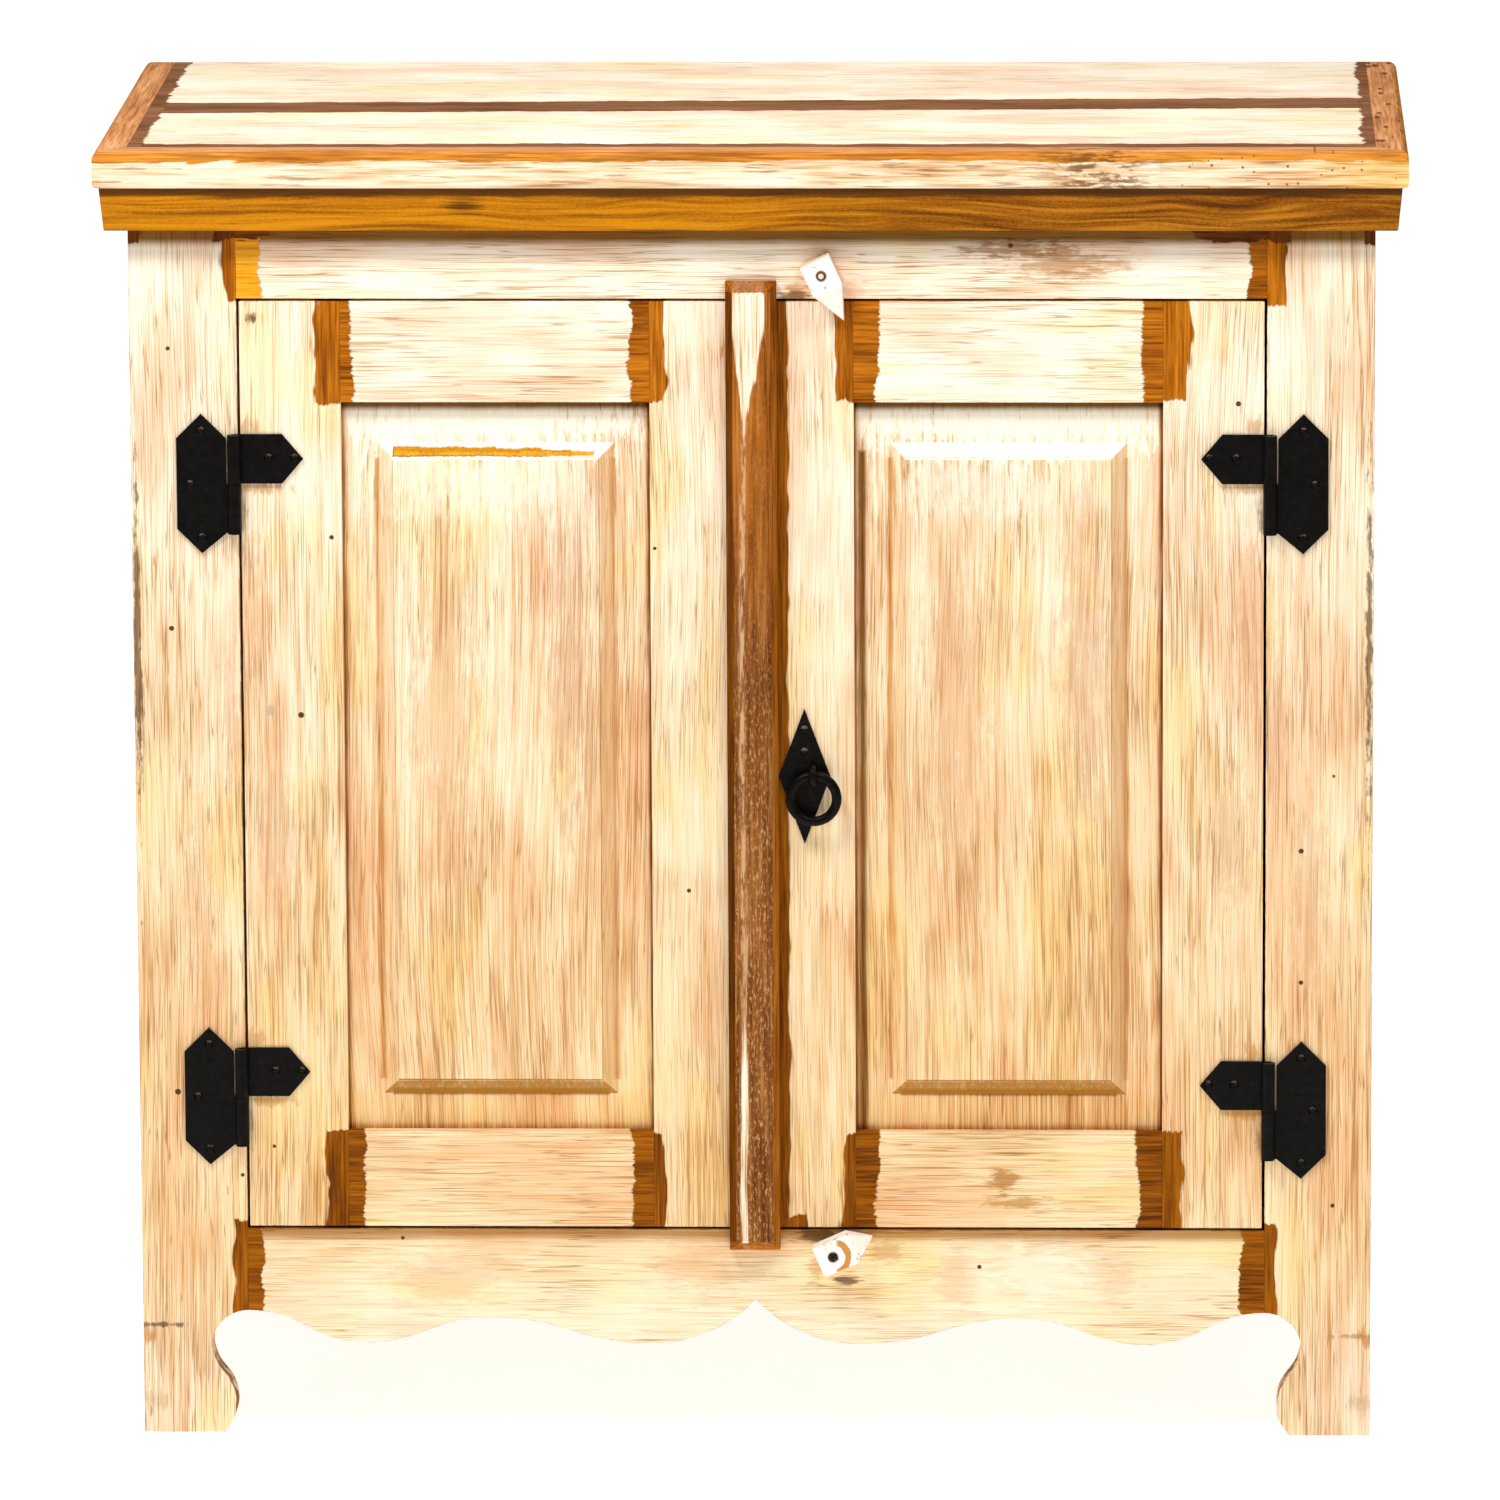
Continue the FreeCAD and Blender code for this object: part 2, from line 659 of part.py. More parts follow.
def leaf_screws(name, positions):
    """Make the flush screws of some leaves as one group."""
    screws = []
    for index, (across, height) in enumerate(positions):
        low = (across, FACE, height)
        sizes = ("leaf_thickness", "screw_head_radius", "screw_shank_radius", "screw_length")
        screws.append(screw(f"{name}_{index + 1}", *sizes, low))
    return group(name, screws)


def knuckle(body, name, centre, bore, start):
    """Add half of a hinge's barrel to a leaf."""
    sketch = draw_circles(body, name + "_barrel", "XY_Plane", centre, ("barrel_radius", bore), start)
    pad(body, sketch, "XY_Plane", "barrel_height / 2 - barrel_split / 2")


def hinge_leaves():
    axis_out = f"({JOINT} + pin_outset)"
    heights = {
        side: {"upper": "upper_hinge_height", "lower": f"lower_hinge_height_{side}"}
        for side in SIDES
    }
    leaf_middle = "(leaf_inner + leaf_outer) / 2"
    frame_spots = []
    for side, sign in SIDES.items():
        for height in heights[side].values():
            frame_spots += [
                (f"{sign} * ({axis_out} + {leaf_middle})", f"{height} + leaf_screw_rise"),
                (f"{sign} * ({axis_out} + {leaf_middle})", f"{height} - leaf_screw_rise"),
                (f"{sign} * ({axis_out} + leaf_screw_reach)", height),
            ]
    frame_screws = leaf_screws("frame_leaf_screws", frame_spots)
    pins = []
    for side, sign in SIDES.items():
        strap_spots = []
        for height in heights[side].values():
            for reach in ("strap_screw_near", "strap_screw_far"):
                strap_spots.append((f"{sign} * ({axis_out} - {reach})", f"{height} + strap_screw_rise"))
        strap_screws = leaf_screws(f"door_{side}_leaf_screws", strap_spots)
        for level, height in heights[side].items():
            low = (f"{sign} * {axis_out}", FACE, height)
            frame_leaf(f"hinge_frame_leaf_{side}_{level}", low, sign, frame_screws)
            door_leaf(f"door_{side}_leaf_{level}", low, -sign, strap_screws)
            pins.append(hinge_pin(f"hinge_pin_{side}_{level}", low))
    group("hinge_pins", pins)


def frame_leaf(name, low, sign, screws):
    """Make the tall pointed leaf that carries the lower half of the barrel and its pin."""
    body = new_body(name + "_blank", low)
    knuckle(body, name, ("0", "-pin_forward"), "pin_radius", "-barrel_height / 2")
    shoulder = "(leaf_height / 2 - leaf_point)"
    middle = "(leaf_inner + leaf_outer) / 2"
    points = [
        ("0", "-barrel_height / 2"),
        ("0", "-barrel_split / 2"),
        ("leaf_inner", "-barrel_split / 2"),
        ("leaf_inner", shoulder),
        (middle, "leaf_height / 2"),
        ("leaf_outer", shoulder),
        ("leaf_outer", f"-{shoulder}"),
        (middle, "-leaf_height / 2"),
        ("leaf_inner", "-barrel_height / 2"),
    ]
    outline = polygon([(f"{sign} * ({across})", up) for across, up in points])
    sketch = draw(body, name + "_plate", "XZ_Plane", outline, "-leaf_thickness")
    pad(body, sketch, "XZ_Plane", "leaf_thickness")
    keep(boolean("Cut", name, body, screws), name)


def door_leaf(name, low, sign, screws):
    """Make the strap that lies on the door and carries the upper half of the barrel."""
    body = new_body(name + "_blank", low)
    start = "barrel_split / 2"
    knuckle(body, name, ("0", "-pin_forward"), "pin_radius + pin_clearance", start)
    end = "barrel_height / 2"
    shoulder = "strap_length - strap_point"
    tip = ("strap_length", f"({start} + {end}) / 2")
    points = [("0", start), (shoulder, start), tip, (shoulder, end), ("0", end)]
    outline = polygon([(f"{sign} * ({across})", up) for across, up in points])
    sketch = draw(body, name + "_plate", "XZ_Plane", outline, "-leaf_thickness")
    pad(body, sketch, "XZ_Plane", "leaf_thickness")
    keep(boolean("Cut", name, body, screws), name)


def hinge_pin(name, low):
    body = new_body(name, low)
    role = "XY_Plane"
    centre = ("0", "-pin_forward")
    sketch = draw_circles(body, name + "_round", role, centre, ("pin_radius",), "-barrel_height / 2")
    pad(body, sketch, role, "barrel_height - pin_radius")
    return body


# --- Astragal, pull and turn buttons ---------------------------------------------------------


def astragal():
    """Make the strip on the right door that covers the joint between the doors."""
    role = "XZ_Plane"
    height = "(astragal_top - astragal_bottom)"
    body = new_body("astragal", ("0", FACE, "(astragal_top + astragal_bottom) / 2"))
    base = rectangle("astragal_width / 2", f"{height} / 2")
    inner = rectangle("(astragal_width / 2 - astragal_bevel)", f"({height} / 2 - astragal_bevel)")
    pad(body, draw(body, "astragal_base", role, base, "-astragal_flat_edge"), role, "astragal_flat_edge")
    hip = body.newObject("PartDesign::AdditiveLoft", "astragal_hip")
    hip.Profile = draw(body, "astragal_hip_foot", role, base, "-astragal_flat_edge")
    hip.Sections = [draw(body, "astragal_hip_crest", role, inner, "-astragal_thickness")]
    hip.Ruled = True
    keep(body, "astragal")


def pull():
    """Make the ring pull: a diamond plate, an eye, a ring that hangs in it and two nails."""
    role = "XZ_Plane"
    plate = new_body("pull_backplate_blank", ("plate_centre", FACE, "plate_middle"))
    half_across, half_tall = "plate_across / 2", "plate_tall / 2"
    lower_half = [("0", f"-{half_tall}"), (half_across, "0")]
    diamond = polygon(lower_half + [("0", half_tall), (f"-{half_across}", "0")])
    sketch = draw(plate, "pull_backplate_diamond", role, diamond, "-plate_thickness")
    pad(plate, sketch, role, "plate_thickness")
    nails = []
    for index, rise in enumerate(("upper_nail_rise", "lower_nail_rise")):
        low = ("plate_centre", f"{FACE} - plate_thickness", f"plate_middle + {rise}")
        sizes = ("nail_dome", "nail_head_radius", "nail_shank_radius", "screw_length")
        nails.append(screw(f"pull_nail_{index + 1}", *sizes, low, dome="nail_dome"))
    nail_group = group("pull_nails", nails)
    eye_low = ("eye_across", f"{FACE} - plate_thickness", "eye_height")
    shank = document.addObject("Part::Cylinder", "pull_eye_shank")
    shank.setExpression("Radius", formula("eye_wire_radius"))
    shank.setExpression("Height", formula("screw_length + eye_wire_radius"))
    shank_low = (eye_low[0], f"{eye_low[1]} - eye_wire_radius", eye_low[2])
    place(shank, shank_low, Rotation(Vector(1, 0, 0), -90))
    loop = document.addObject("Part::Torus", "pull_eye_loop")
    loop.setExpression("Radius1", formula("eye_bore_radius + eye_wire_radius"))
    loop.setExpression("Radius2", formula("eye_wire_radius"))
    loop_forward = "(eye_bore_radius + 2 * eye_wire_radius)"
    place(loop, (eye_low[0], f"{eye_low[1]} - {loop_forward}", eye_low[2]), Rotation(Vector(0, 1, 0), 90))
    eye = keep(boolean("Fuse", "pull_eye", loop, shank), "pull_eye")
    pierced = boolean("Cut", "pull_backplate_pierced", plate, nail_group)
    keep(boolean("Cut", "pull_backplate", pierced, eye), "pull_backplate")
    ring = document.addObject("Part::Torus", "pull_ring")
    ring.setExpression("Radius1", formula("ring_radius"))
    ring.setExpression("Radius2", formula("ring_wire_radius"))
    ring_low = ("ring_across", f"{eye_low[1]} - {loop_forward}", "eye_height - ring_radius")
    place(ring, ring_low, Rotation(Vector(1, 0, 0), 90))
    keep(ring, "pull_ring")


def turn_button(level):
    """Make a wooden turn button: a square block that tapers to a point, and its screw."""
    length, shoulder = f"{level}_button_length", f"{level}_button_shoulder"
    low = (f"{level}_button_across", f"{FACE} - button_gap", f"{level}_button_height")
    turn = Rotation(Vector(0, -1, 0), number(f"{level}_button_angle"))
    name = f"turn_button_{level}"
    half = "button_half_width"
    block_corners = [(f"-{half}", f"-{half}"), (shoulder, f"-{half}")]
    outline = polygon(block_corners + [(length, "0"), (shoulder, half), (f"-{half}", half)])
    face = new_body(name + "_face", low, turn)
    sketch = draw(face, name + "_outline", "XZ_Plane", outline, "-button_thickness")
    pad(face, sketch, "XZ_Plane", "button_thickness")
    side = polygon([
        (f"-{half}", "0"),
        (length, "0"),
        (length, "-button_tip_thickness"),
        (shoulder, "-button_thickness"),
        (f"-{half}", "-button_thickness"),
    ])
    edge = new_body(name + "_edge", low, turn)
    pad(edge, draw(edge, name + "_taper", "XY_Plane", side, f"-{half}"), "XY_Plane", f"2 * {half}")
    block = boolean("Common", name + "_block", face, edge)
    bore = document.addObject("Part::Cylinder", name + "_bore")
    bore.setExpression("Radius", formula("button_bore_radius"))
    bore.setExpression("Height", formula("2 * button_thickness"))
    place(bore, (low[0], f"{FACE} - 1.5 * button_thickness", low[2]), Rotation(Vector(1, 0, 0), -90))
    keep(boolean("Cut", name, block, bore), name)
    screw_low = (low[0], f"{FACE} - 2 * button_gap - button_thickness", low[2])
    screw_reach = "button_thickness + 2 * button_gap + button_screw_bite"
    sizes = ("button_head_dome", "button_head_radius", "button_screw_radius", screw_reach)
    return screw(name + "_screw", *sizes, screw_low, dome="button_head_dome")


def check_and_write():
    """Stop on any failed object, then write every piece to its own file."""
    document.recompute()
    for item in document.Objects:
        if "Invalid" in item.State or "Error" in item.State:
            raise RuntimeError(f"{item.Label} failed: {item.State}")
    os.makedirs("parts", exist_ok=True)
    for piece in pieces:
        shape = piece.Shape
        if shape.isNull() or not shape.isValid() or not shape.Solids:
            raise RuntimeError(f"{piece.Label} has no valid solid")
        shape.exportStep(f"parts/{piece.Label}.step")
        print(f"{piece.Label}: {len(shape.Solids)} solid(s), {shape.Volume / 1000:.1f} cm3")
    print(len(pieces), "pieces")


front_frame()
for side_name, side_sign in SIDES.items():
    side_frame(side_name, side_sign)
    door_frame(side_name, side_sign)
top()
inside()
hinge_leaves()
astragal()
pull()
group("turn_button_screws", [turn_button("top"), turn_button("bottom")])
check_and_write()
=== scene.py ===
from collections import namedtuple
from math import cos, radians, sin, sqrt

import bmesh
import bpy
from mathutils import Matrix, Vector


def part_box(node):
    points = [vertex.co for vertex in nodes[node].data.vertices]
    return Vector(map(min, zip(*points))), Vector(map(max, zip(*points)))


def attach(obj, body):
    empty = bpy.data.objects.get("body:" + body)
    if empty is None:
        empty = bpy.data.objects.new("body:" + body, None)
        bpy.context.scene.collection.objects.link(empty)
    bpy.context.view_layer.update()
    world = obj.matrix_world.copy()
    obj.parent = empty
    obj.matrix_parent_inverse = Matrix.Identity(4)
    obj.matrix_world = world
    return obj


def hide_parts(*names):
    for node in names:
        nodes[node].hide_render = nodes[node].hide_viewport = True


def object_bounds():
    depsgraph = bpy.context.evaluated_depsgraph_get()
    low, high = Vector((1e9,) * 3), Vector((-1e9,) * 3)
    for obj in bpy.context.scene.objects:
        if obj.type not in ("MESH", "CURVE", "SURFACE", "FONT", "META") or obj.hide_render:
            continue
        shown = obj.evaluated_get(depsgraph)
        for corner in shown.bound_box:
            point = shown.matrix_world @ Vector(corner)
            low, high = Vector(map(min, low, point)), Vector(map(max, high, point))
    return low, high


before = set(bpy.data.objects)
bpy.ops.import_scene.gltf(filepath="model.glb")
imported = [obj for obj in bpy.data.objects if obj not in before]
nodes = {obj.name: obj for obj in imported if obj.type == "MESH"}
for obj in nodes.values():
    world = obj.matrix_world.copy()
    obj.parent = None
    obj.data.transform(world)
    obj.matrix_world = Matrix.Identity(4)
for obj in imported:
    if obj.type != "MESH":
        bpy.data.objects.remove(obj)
cad_low, cad_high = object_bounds()
MM = 0.001
FAR = 5.0  # past the border of any piece
WHOLE = (-FAR, FAR)
TONGUE = 8.1  # how far a rail's hidden tongue runs into its stile, in millimetres
SIDES = {"left": -1, "right": 1}


def srgb(red, green, blue):
    """Turn a colour as the eye names it, 0 to 255, into the linear values that shaders take."""
    def linear(value):
        share = value / 255
        return share / 12.92 if share <= 0.04045 else ((share + 0.055) / 1.055) ** 2.4
    return (linear(red), linear(green), linear(blue))


def middle_of(name):
    """The middle of a piece seen from the front, as (across, up)."""
    low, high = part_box(name)
    return (low.x + high.x) / 2, (low.z + high.z) / 2


def front_points(name):
    """The corners of a piece's foremost faces."""
    points = [vertex.co for vertex in nodes[name].data.vertices]
    front = min(point.y for point in points)
    return [point for point in points if point.y < front + 0.1 * MM]


def spans(points):
    """How far points reach seen from the front, as (left, right), (bottom, top)."""
    xs, zs = [point.x for point in points], [point.z for point in points]
    return (min(xs), max(xs)), (min(zs), max(zs))


# --- Node graphs ---


class Graph:
    """A small writer for a material's nodes. Values may be numbers or another node's output."""

    def __init__(self, name):
        self.material = bpy.data.materials.new(name)
        self.material.use_nodes = True
        self.tree = self.material.node_tree
        self.shader = self.tree.nodes["Principled BSDF"]
        coordinates = self.tree.nodes.new("ShaderNodeTexCoord")
        self.place = coordinates.outputs["Object"]
        self.facing = coordinates.outputs["Normal"]

    def feed(self, socket, value):
        if isinstance(value, bpy.types.NodeSocket):
            self.tree.links.new(value, socket)
        elif socket.type == "RGBA":
            socket.default_value = (*value, 1)
        else:
            socket.default_value = value

    def math(self, operation, *values):
        node = self.tree.nodes.new("ShaderNodeMath")
        node.operation = operation
        for socket, value in zip(node.inputs, values):
            self.feed(socket, value)
        return node.outputs[0]

    def add(self, first, *others):
        for other in others:
            first = self.math("ADD", first, other)
        return first

    def subtract(self, a, b):
        return self.math("SUBTRACT", a, b)

    def multiply(self, first, *others):
        for other in others:
            first = self.math("MULTIPLY", first, other)
        return first

    def larger(self, a, b):
        return self.math("MAXIMUM", a, b)

    def size(self, value):
        """The value without its sign."""
        return self.math("ABSOLUTE", value)

    def length(self, *values):
        return self.math("SQRT", self.add(*[self.multiply(value, value) for value in values]))

    def away(self, value, amount):
        """Centre a noise on zero and scale it."""
        return self.multiply(self.subtract(value, 0.5), amount)

    def split(self, vector):
        node = self.tree.nodes.new("ShaderNodeSeparateXYZ")
        self.feed(node.inputs[0], vector)
        return list(node.outputs)

    def join(self, x, y, z):
        node = self.tree.nodes.new("ShaderNodeCombineXYZ")
        for socket, value in zip(node.inputs, (x, y, z)):
            self.feed(socket, value)
        return node.outputs[0]

    def noise(self, place, scale, seed=0.0, detail=2.0, roughness=0.55):
        scale = (scale, scale, scale) if isinstance(scale, (int, float)) else scale
        mapping = self.tree.nodes.new("ShaderNodeMapping")
        self.feed(mapping.inputs["Vector"], place)
        self.feed(mapping.inputs["Location"], (seed * 1.7, seed * 2.3, seed * 0.9))
        self.feed(mapping.inputs["Scale"], scale)
        node = self.tree.nodes.new("ShaderNodeTexNoise")
        self.feed(node.inputs["Vector"], mapping.outputs[0])
        self.feed(node.inputs["Scale"], 1.0)
        self.feed(node.inputs["Detail"], detail)
        self.feed(node.inputs["Roughness"], roughness)
        return node.outputs["Fac"]

    def step(self, value, low, high, start=0.0, end=1.0):
        """Go smoothly from start to end as value goes from low to high."""
        node = self.tree.nodes.new("ShaderNodeMapRange")
        node.interpolation_type = "SMOOTHSTEP"
        if low > high:
            low, high, start, end = high, low, end, start
        for socket, number in zip(node.inputs[:5], (value, low, high, start, end)):
            self.feed(socket, number)
        return node.outputs[0]

    def mix(self, share, first, second, blend="MIX"):
        node = self.tree.nodes.new("ShaderNodeMix")
        node.data_type = "RGBA"
        node.blend_type = blend
        node.clamp_factor = True
        self.feed(node.inputs[0], share)
        self.feed(node.inputs[6], first)
        self.feed(node.inputs[7], second)
        return node.outputs[2]

    def ramp(self, value, stops):
        node = self.tree.nodes.new("ShaderNodeValToRGB")
        elements = node.color_ramp.elements
        while len(elements) < len(stops):
            elements.new(0.5)
        for element, (position, colour) in zip(elements, stops):
            element.position = position
            element.color = (*colour, 1)
        self.feed(node.inputs[0], value)
        return node.outputs[0]

    def bump(self, height, distance):
        node = self.tree.nodes.new("ShaderNodeBump")
        self.feed(node.inputs["Strength"], 1.0)
        self.feed(node.inputs["Distance"], distance)
        self.feed(node.inputs["Height"], height)
        return node.outputs[0]

    def finish(self, colour, roughness, normal=None, specular=0.12):
        self.feed(self.shader.inputs["Base Color"], colour)
        self.feed(self.shader.inputs["Roughness"], roughness)
        self.feed(self.shader.inputs["Specular IOR Level"], specular)
        if normal is not None:
            self.feed(self.shader.inputs["Normal"], normal)
        return self.material


# --- Wood and paint ---

Tone = namedtuple("Tone", "dark middle light")
BROWN = Tone(srgb(104, 52, 6), srgb(164, 92, 10), srgb(202, 122, 24))
DEEP = Tone(srgb(86, 42, 3), srgb(138, 76, 5), srgb(172, 100, 12))
GOLDEN = Tone(srgb(196, 124, 20), srgb(232, 158, 30), srgb(246, 180, 56))
SHADED = Tone(srgb(60, 28, 6), srgb(96, 50, 12), srgb(126, 70, 20))
WALNUT = Tone(srgb(92, 56, 34), srgb(132, 86, 56), srgb(160, 112, 80))
PALE_END = Tone(srgb(160, 96, 50), srgb(206, 140, 88), srgb(232, 172, 120))
ORANGE = Tone(srgb(150, 86, 20), srgb(204, 128, 36), srgb(232, 160, 72))
RUSTY = Tone(srgb(104, 52, 14), srgb(160, 92, 28), srgb(190, 120, 50))
WORN_BROWN = Tone(srgb(92, 48, 18), srgb(132, 78, 32), srgb(176, 122, 66))
EDGE_DARK = Tone(srgb(64, 30, 2), srgb(100, 52, 3), srgb(128, 72, 8))
EDGE_BROWN = Tone(srgb(96, 46, 6), srgb(148, 84, 16), srgb(184, 118, 40))
GOLD_LIGHT = Tone(srgb(134, 78, 4), srgb(184, 114, 8), srgb(206, 134, 14))
GOLD_DARK = Tone(srgb(88, 44, 4), srgb(140, 80, 8), srgb(184, 118, 26))
PLAIN = Tone(srgb(120, 78, 42), srgb(170, 122, 76), srgb(196, 150, 100))
OCHRE = srgb(190, 128, 44)
# Darkens cracks, worm holes and dirt, and also paints one shadow under the doors.
DIRT_AND_SHADE = srgb(92, 60, 28)
WORN = srgb(84, 48, 18)
GROOVE = srgb(118, 82, 36)
WHITE = srgb(255, 250, 232)

PAINT_STOPS = (
    (0.34, srgb(255, 248, 232)), (0.45, srgb(252, 237, 212)), (0.54, srgb(242, 216, 182)),
    (0.62, srgb(216, 174, 128)), (0.70, srgb(160, 110, 66)),
)

# Marks on a painted piece, seen flat on. A patch is bare wood, a glaze darkens the paint, and a
# blot is a rounded stain; a few glazes and one blot are painted shadow. "soft" is in millimetres.
Patch = namedtuple("Patch", "across up tone rough lean", defaults=(BROWN, 1.0, 0.0))
Glaze = namedtuple("Glaze", "across up colour strength soft streaky", defaults=(OCHRE, 0.8, 3.0, True))
Blot = namedtuple("Blot", "centre reach colour strength", defaults=(DIRT_AND_SHADE, 0.7))


def drawn_out(grain, across, along):
    """A scale for noise that is drawn out along the grain."""
    return tuple(along if axis == grain else across for axis in "XYZ")


def box_distance(graph, across, up, span, lean=0.0):
    """Distance in metres from the border of a box seen flat on: below zero inside it."""
    parts = []
    if lean:
        up = graph.subtract(up, graph.multiply(across, lean))
    for value, (low, high) in ((across, span.across), (up, span.up)):
        off_middle = graph.size(graph.subtract(value, (low + high) / 2))
        parts.append(graph.subtract(off_middle, (high - low) / 2))
    return graph.larger(*parts)


def spot_distance(graph, across, up, centre, reach):
    """Distance from the middle of an oval seen flat on: 1 at its rim."""
    return graph.length(*[
        graph.multiply(graph.subtract(value, middle), 1 / radius)
        for value, middle, radius in zip((across, up), centre, reach)
    ])


def toned(graph, value, tone, positions=(0.36, 0.50, 0.64)):
    """Colour a streaky value with the dark, middle and light of a tone."""
    return graph.ramp(value, tuple(zip(positions, tone)))


def bare_wood(graph, grain, seed, tone):
    """Brown wood: long streaks, darker pores and a slow change of tone."""
    streak = graph.noise(graph.place, drawn_out(grain, 620, 22), seed, 3, 0.6)
    slow = graph.noise(graph.place, drawn_out(grain, 60, 7), seed + 3)
    pore = graph.noise(graph.place, drawn_out(grain, 1300, 50), seed + 5)
    value = graph.add(graph.multiply(streak, 0.6), graph.multiply(slow, 0.4))
    colour = toned(graph, value, tone)
    return graph.mix(graph.step(pore, 0.58, 0.72, 0, 0.6), colour, tone.dark)


def specks(graph, across, up, scale, share, girth_scale=1.0):
    """Small round spots seen flat on, in a share of the cells of a random mesh."""
    cells = graph.tree.nodes.new("ShaderNodeTexVoronoi")
    cells.voronoi_dimensions = "2D"
    graph.feed(cells.inputs["Vector"], graph.join(across, up, 0.0))
    graph.feed(cells.inputs["Scale"], scale)
    chance, girth, _last = graph.split(cells.outputs["Color"])
    chosen = graph.step(chance, 1 - share, 1.001 - share)
    reach = graph.subtract(cells.outputs["Distance"], graph.multiply(girth, 0.05))
    return graph.multiply(chosen, graph.step(reach, 0.065 * girth_scale, 0.03 * girth_scale))


def brushed_paint(graph, coordinates, grain, seed, load, tint, bend):
    """The paint's colour, how thin it lies, and its middling brush strokes."""
    place = graph.place
    if bend:
        lean = graph.noise(graph.place, 3.2, seed + 9, 1)
        shifted = graph.add(coordinates["X"], graph.away(lean, bend))
        place = graph.join(shifted, coordinates["Y"], coordinates["Z"])
    fine = graph.noise(place, drawn_out(grain, 1350, 15), seed)
    medium = graph.noise(place, drawn_out(grain, 420, 8), seed + 1)
    broad = graph.noise(place, drawn_out(grain, 90, 6), seed + 2)
    cloud = graph.noise(graph.place, drawn_out(grain, 16, 8), seed + 3, 3)
    share_of_height = graph.multiply(coordinates["Z"], 1 / cad_high.z)
    # Painted shade: toward the bottom the paint turns darker and yellower, and a little thinner, less so
    # right by the floor.
    lower_wear_and_shade = graph.multiply(
        graph.step(share_of_height, 0.93, 0.243), graph.step(share_of_height, 0.033, 0.155, 0.3, 1),
    )
    thinness = graph.add(
        graph.multiply(fine, 0.46), graph.multiply(medium, 0.28), graph.multiply(broad, 0.16),
        graph.away(cloud, 0.34), graph.multiply(lower_wear_and_shade, 0.02), load + 0.015,
    )
    paint = graph.ramp(thinness, PAINT_STOPS)
    rosy = graph.noise(graph.place, drawn_out(grain, 20, 7), seed + 4)
    paint = graph.mix(graph.step(rosy, 0.50, 0.66, 0, 0.7), paint, srgb(250, 226, 214), "MULTIPLY")
    paint = graph.mix(graph.step(rosy, 0.48, 0.34, 0, 0.7), paint, srgb(255, 248, 214), "MULTIPLY")
    paint = graph.mix(lower_wear_and_shade, paint, srgb(251, 239, 214), "MULTIPLY")
    paint = graph.mix(1.0, paint, tint, "MULTIPLY")
    hair = graph.noise(place, drawn_out(grain, 420, 8), seed + 14, 1)
    hair = graph.step(graph.size(graph.subtract(hair, 0.5)), 0.030, 0.008)
    hair = graph.multiply(hair, graph.step(cloud, 0.36, 0.56, 0.25, 0.75))
    paint = graph.mix(hair, paint, srgb(186, 138, 88))
    scratch = graph.noise(place, drawn_out(grain, 1500, 18), seed + 5, 1)
    scratch = graph.multiply(graph.step(scratch, 0.59, 0.70), graph.step(cloud, 0.38, 0.58, 0.35, 1))
    paint = graph.mix(graph.multiply(scratch, 0.8), paint, srgb(160, 112, 66))
    return paint, thinness, medium


def with_blots(graph, paint, across, up, blots, grain, seed):
    for blot in blots:
        distance = spot_distance(graph, across, up, blot.centre, blot.reach)
        speckle = graph.noise(graph.place, drawn_out(grain, 260, 60), seed + 8, 3, 0.7)
        share = graph.step(graph.add(distance, graph.away(speckle, -3.0)), 1.0, 0.3, 0, blot.strength)
        paint = graph.mix(share, paint, blot.colour)
    return paint


def with_glazes(graph, paint, across, up, glazes, ragged, medium):
    for glaze in glazes:
        distance = box_distance(graph, across, up, glaze)
        distance = graph.add(distance, graph.multiply(ragged, 0.25 if glaze.streaky else 0.1))
        share = graph.step(distance, glaze.soft * MM, -glaze.soft * MM, 0, glaze.strength)
        if glaze.streaky:
            share = graph.multiply(share, graph.step(medium, 0.30, 0.58, 0.35, 1.1))
        paint = graph.mix(share, paint, glaze.colour, "MULTIPLY")
    return paint


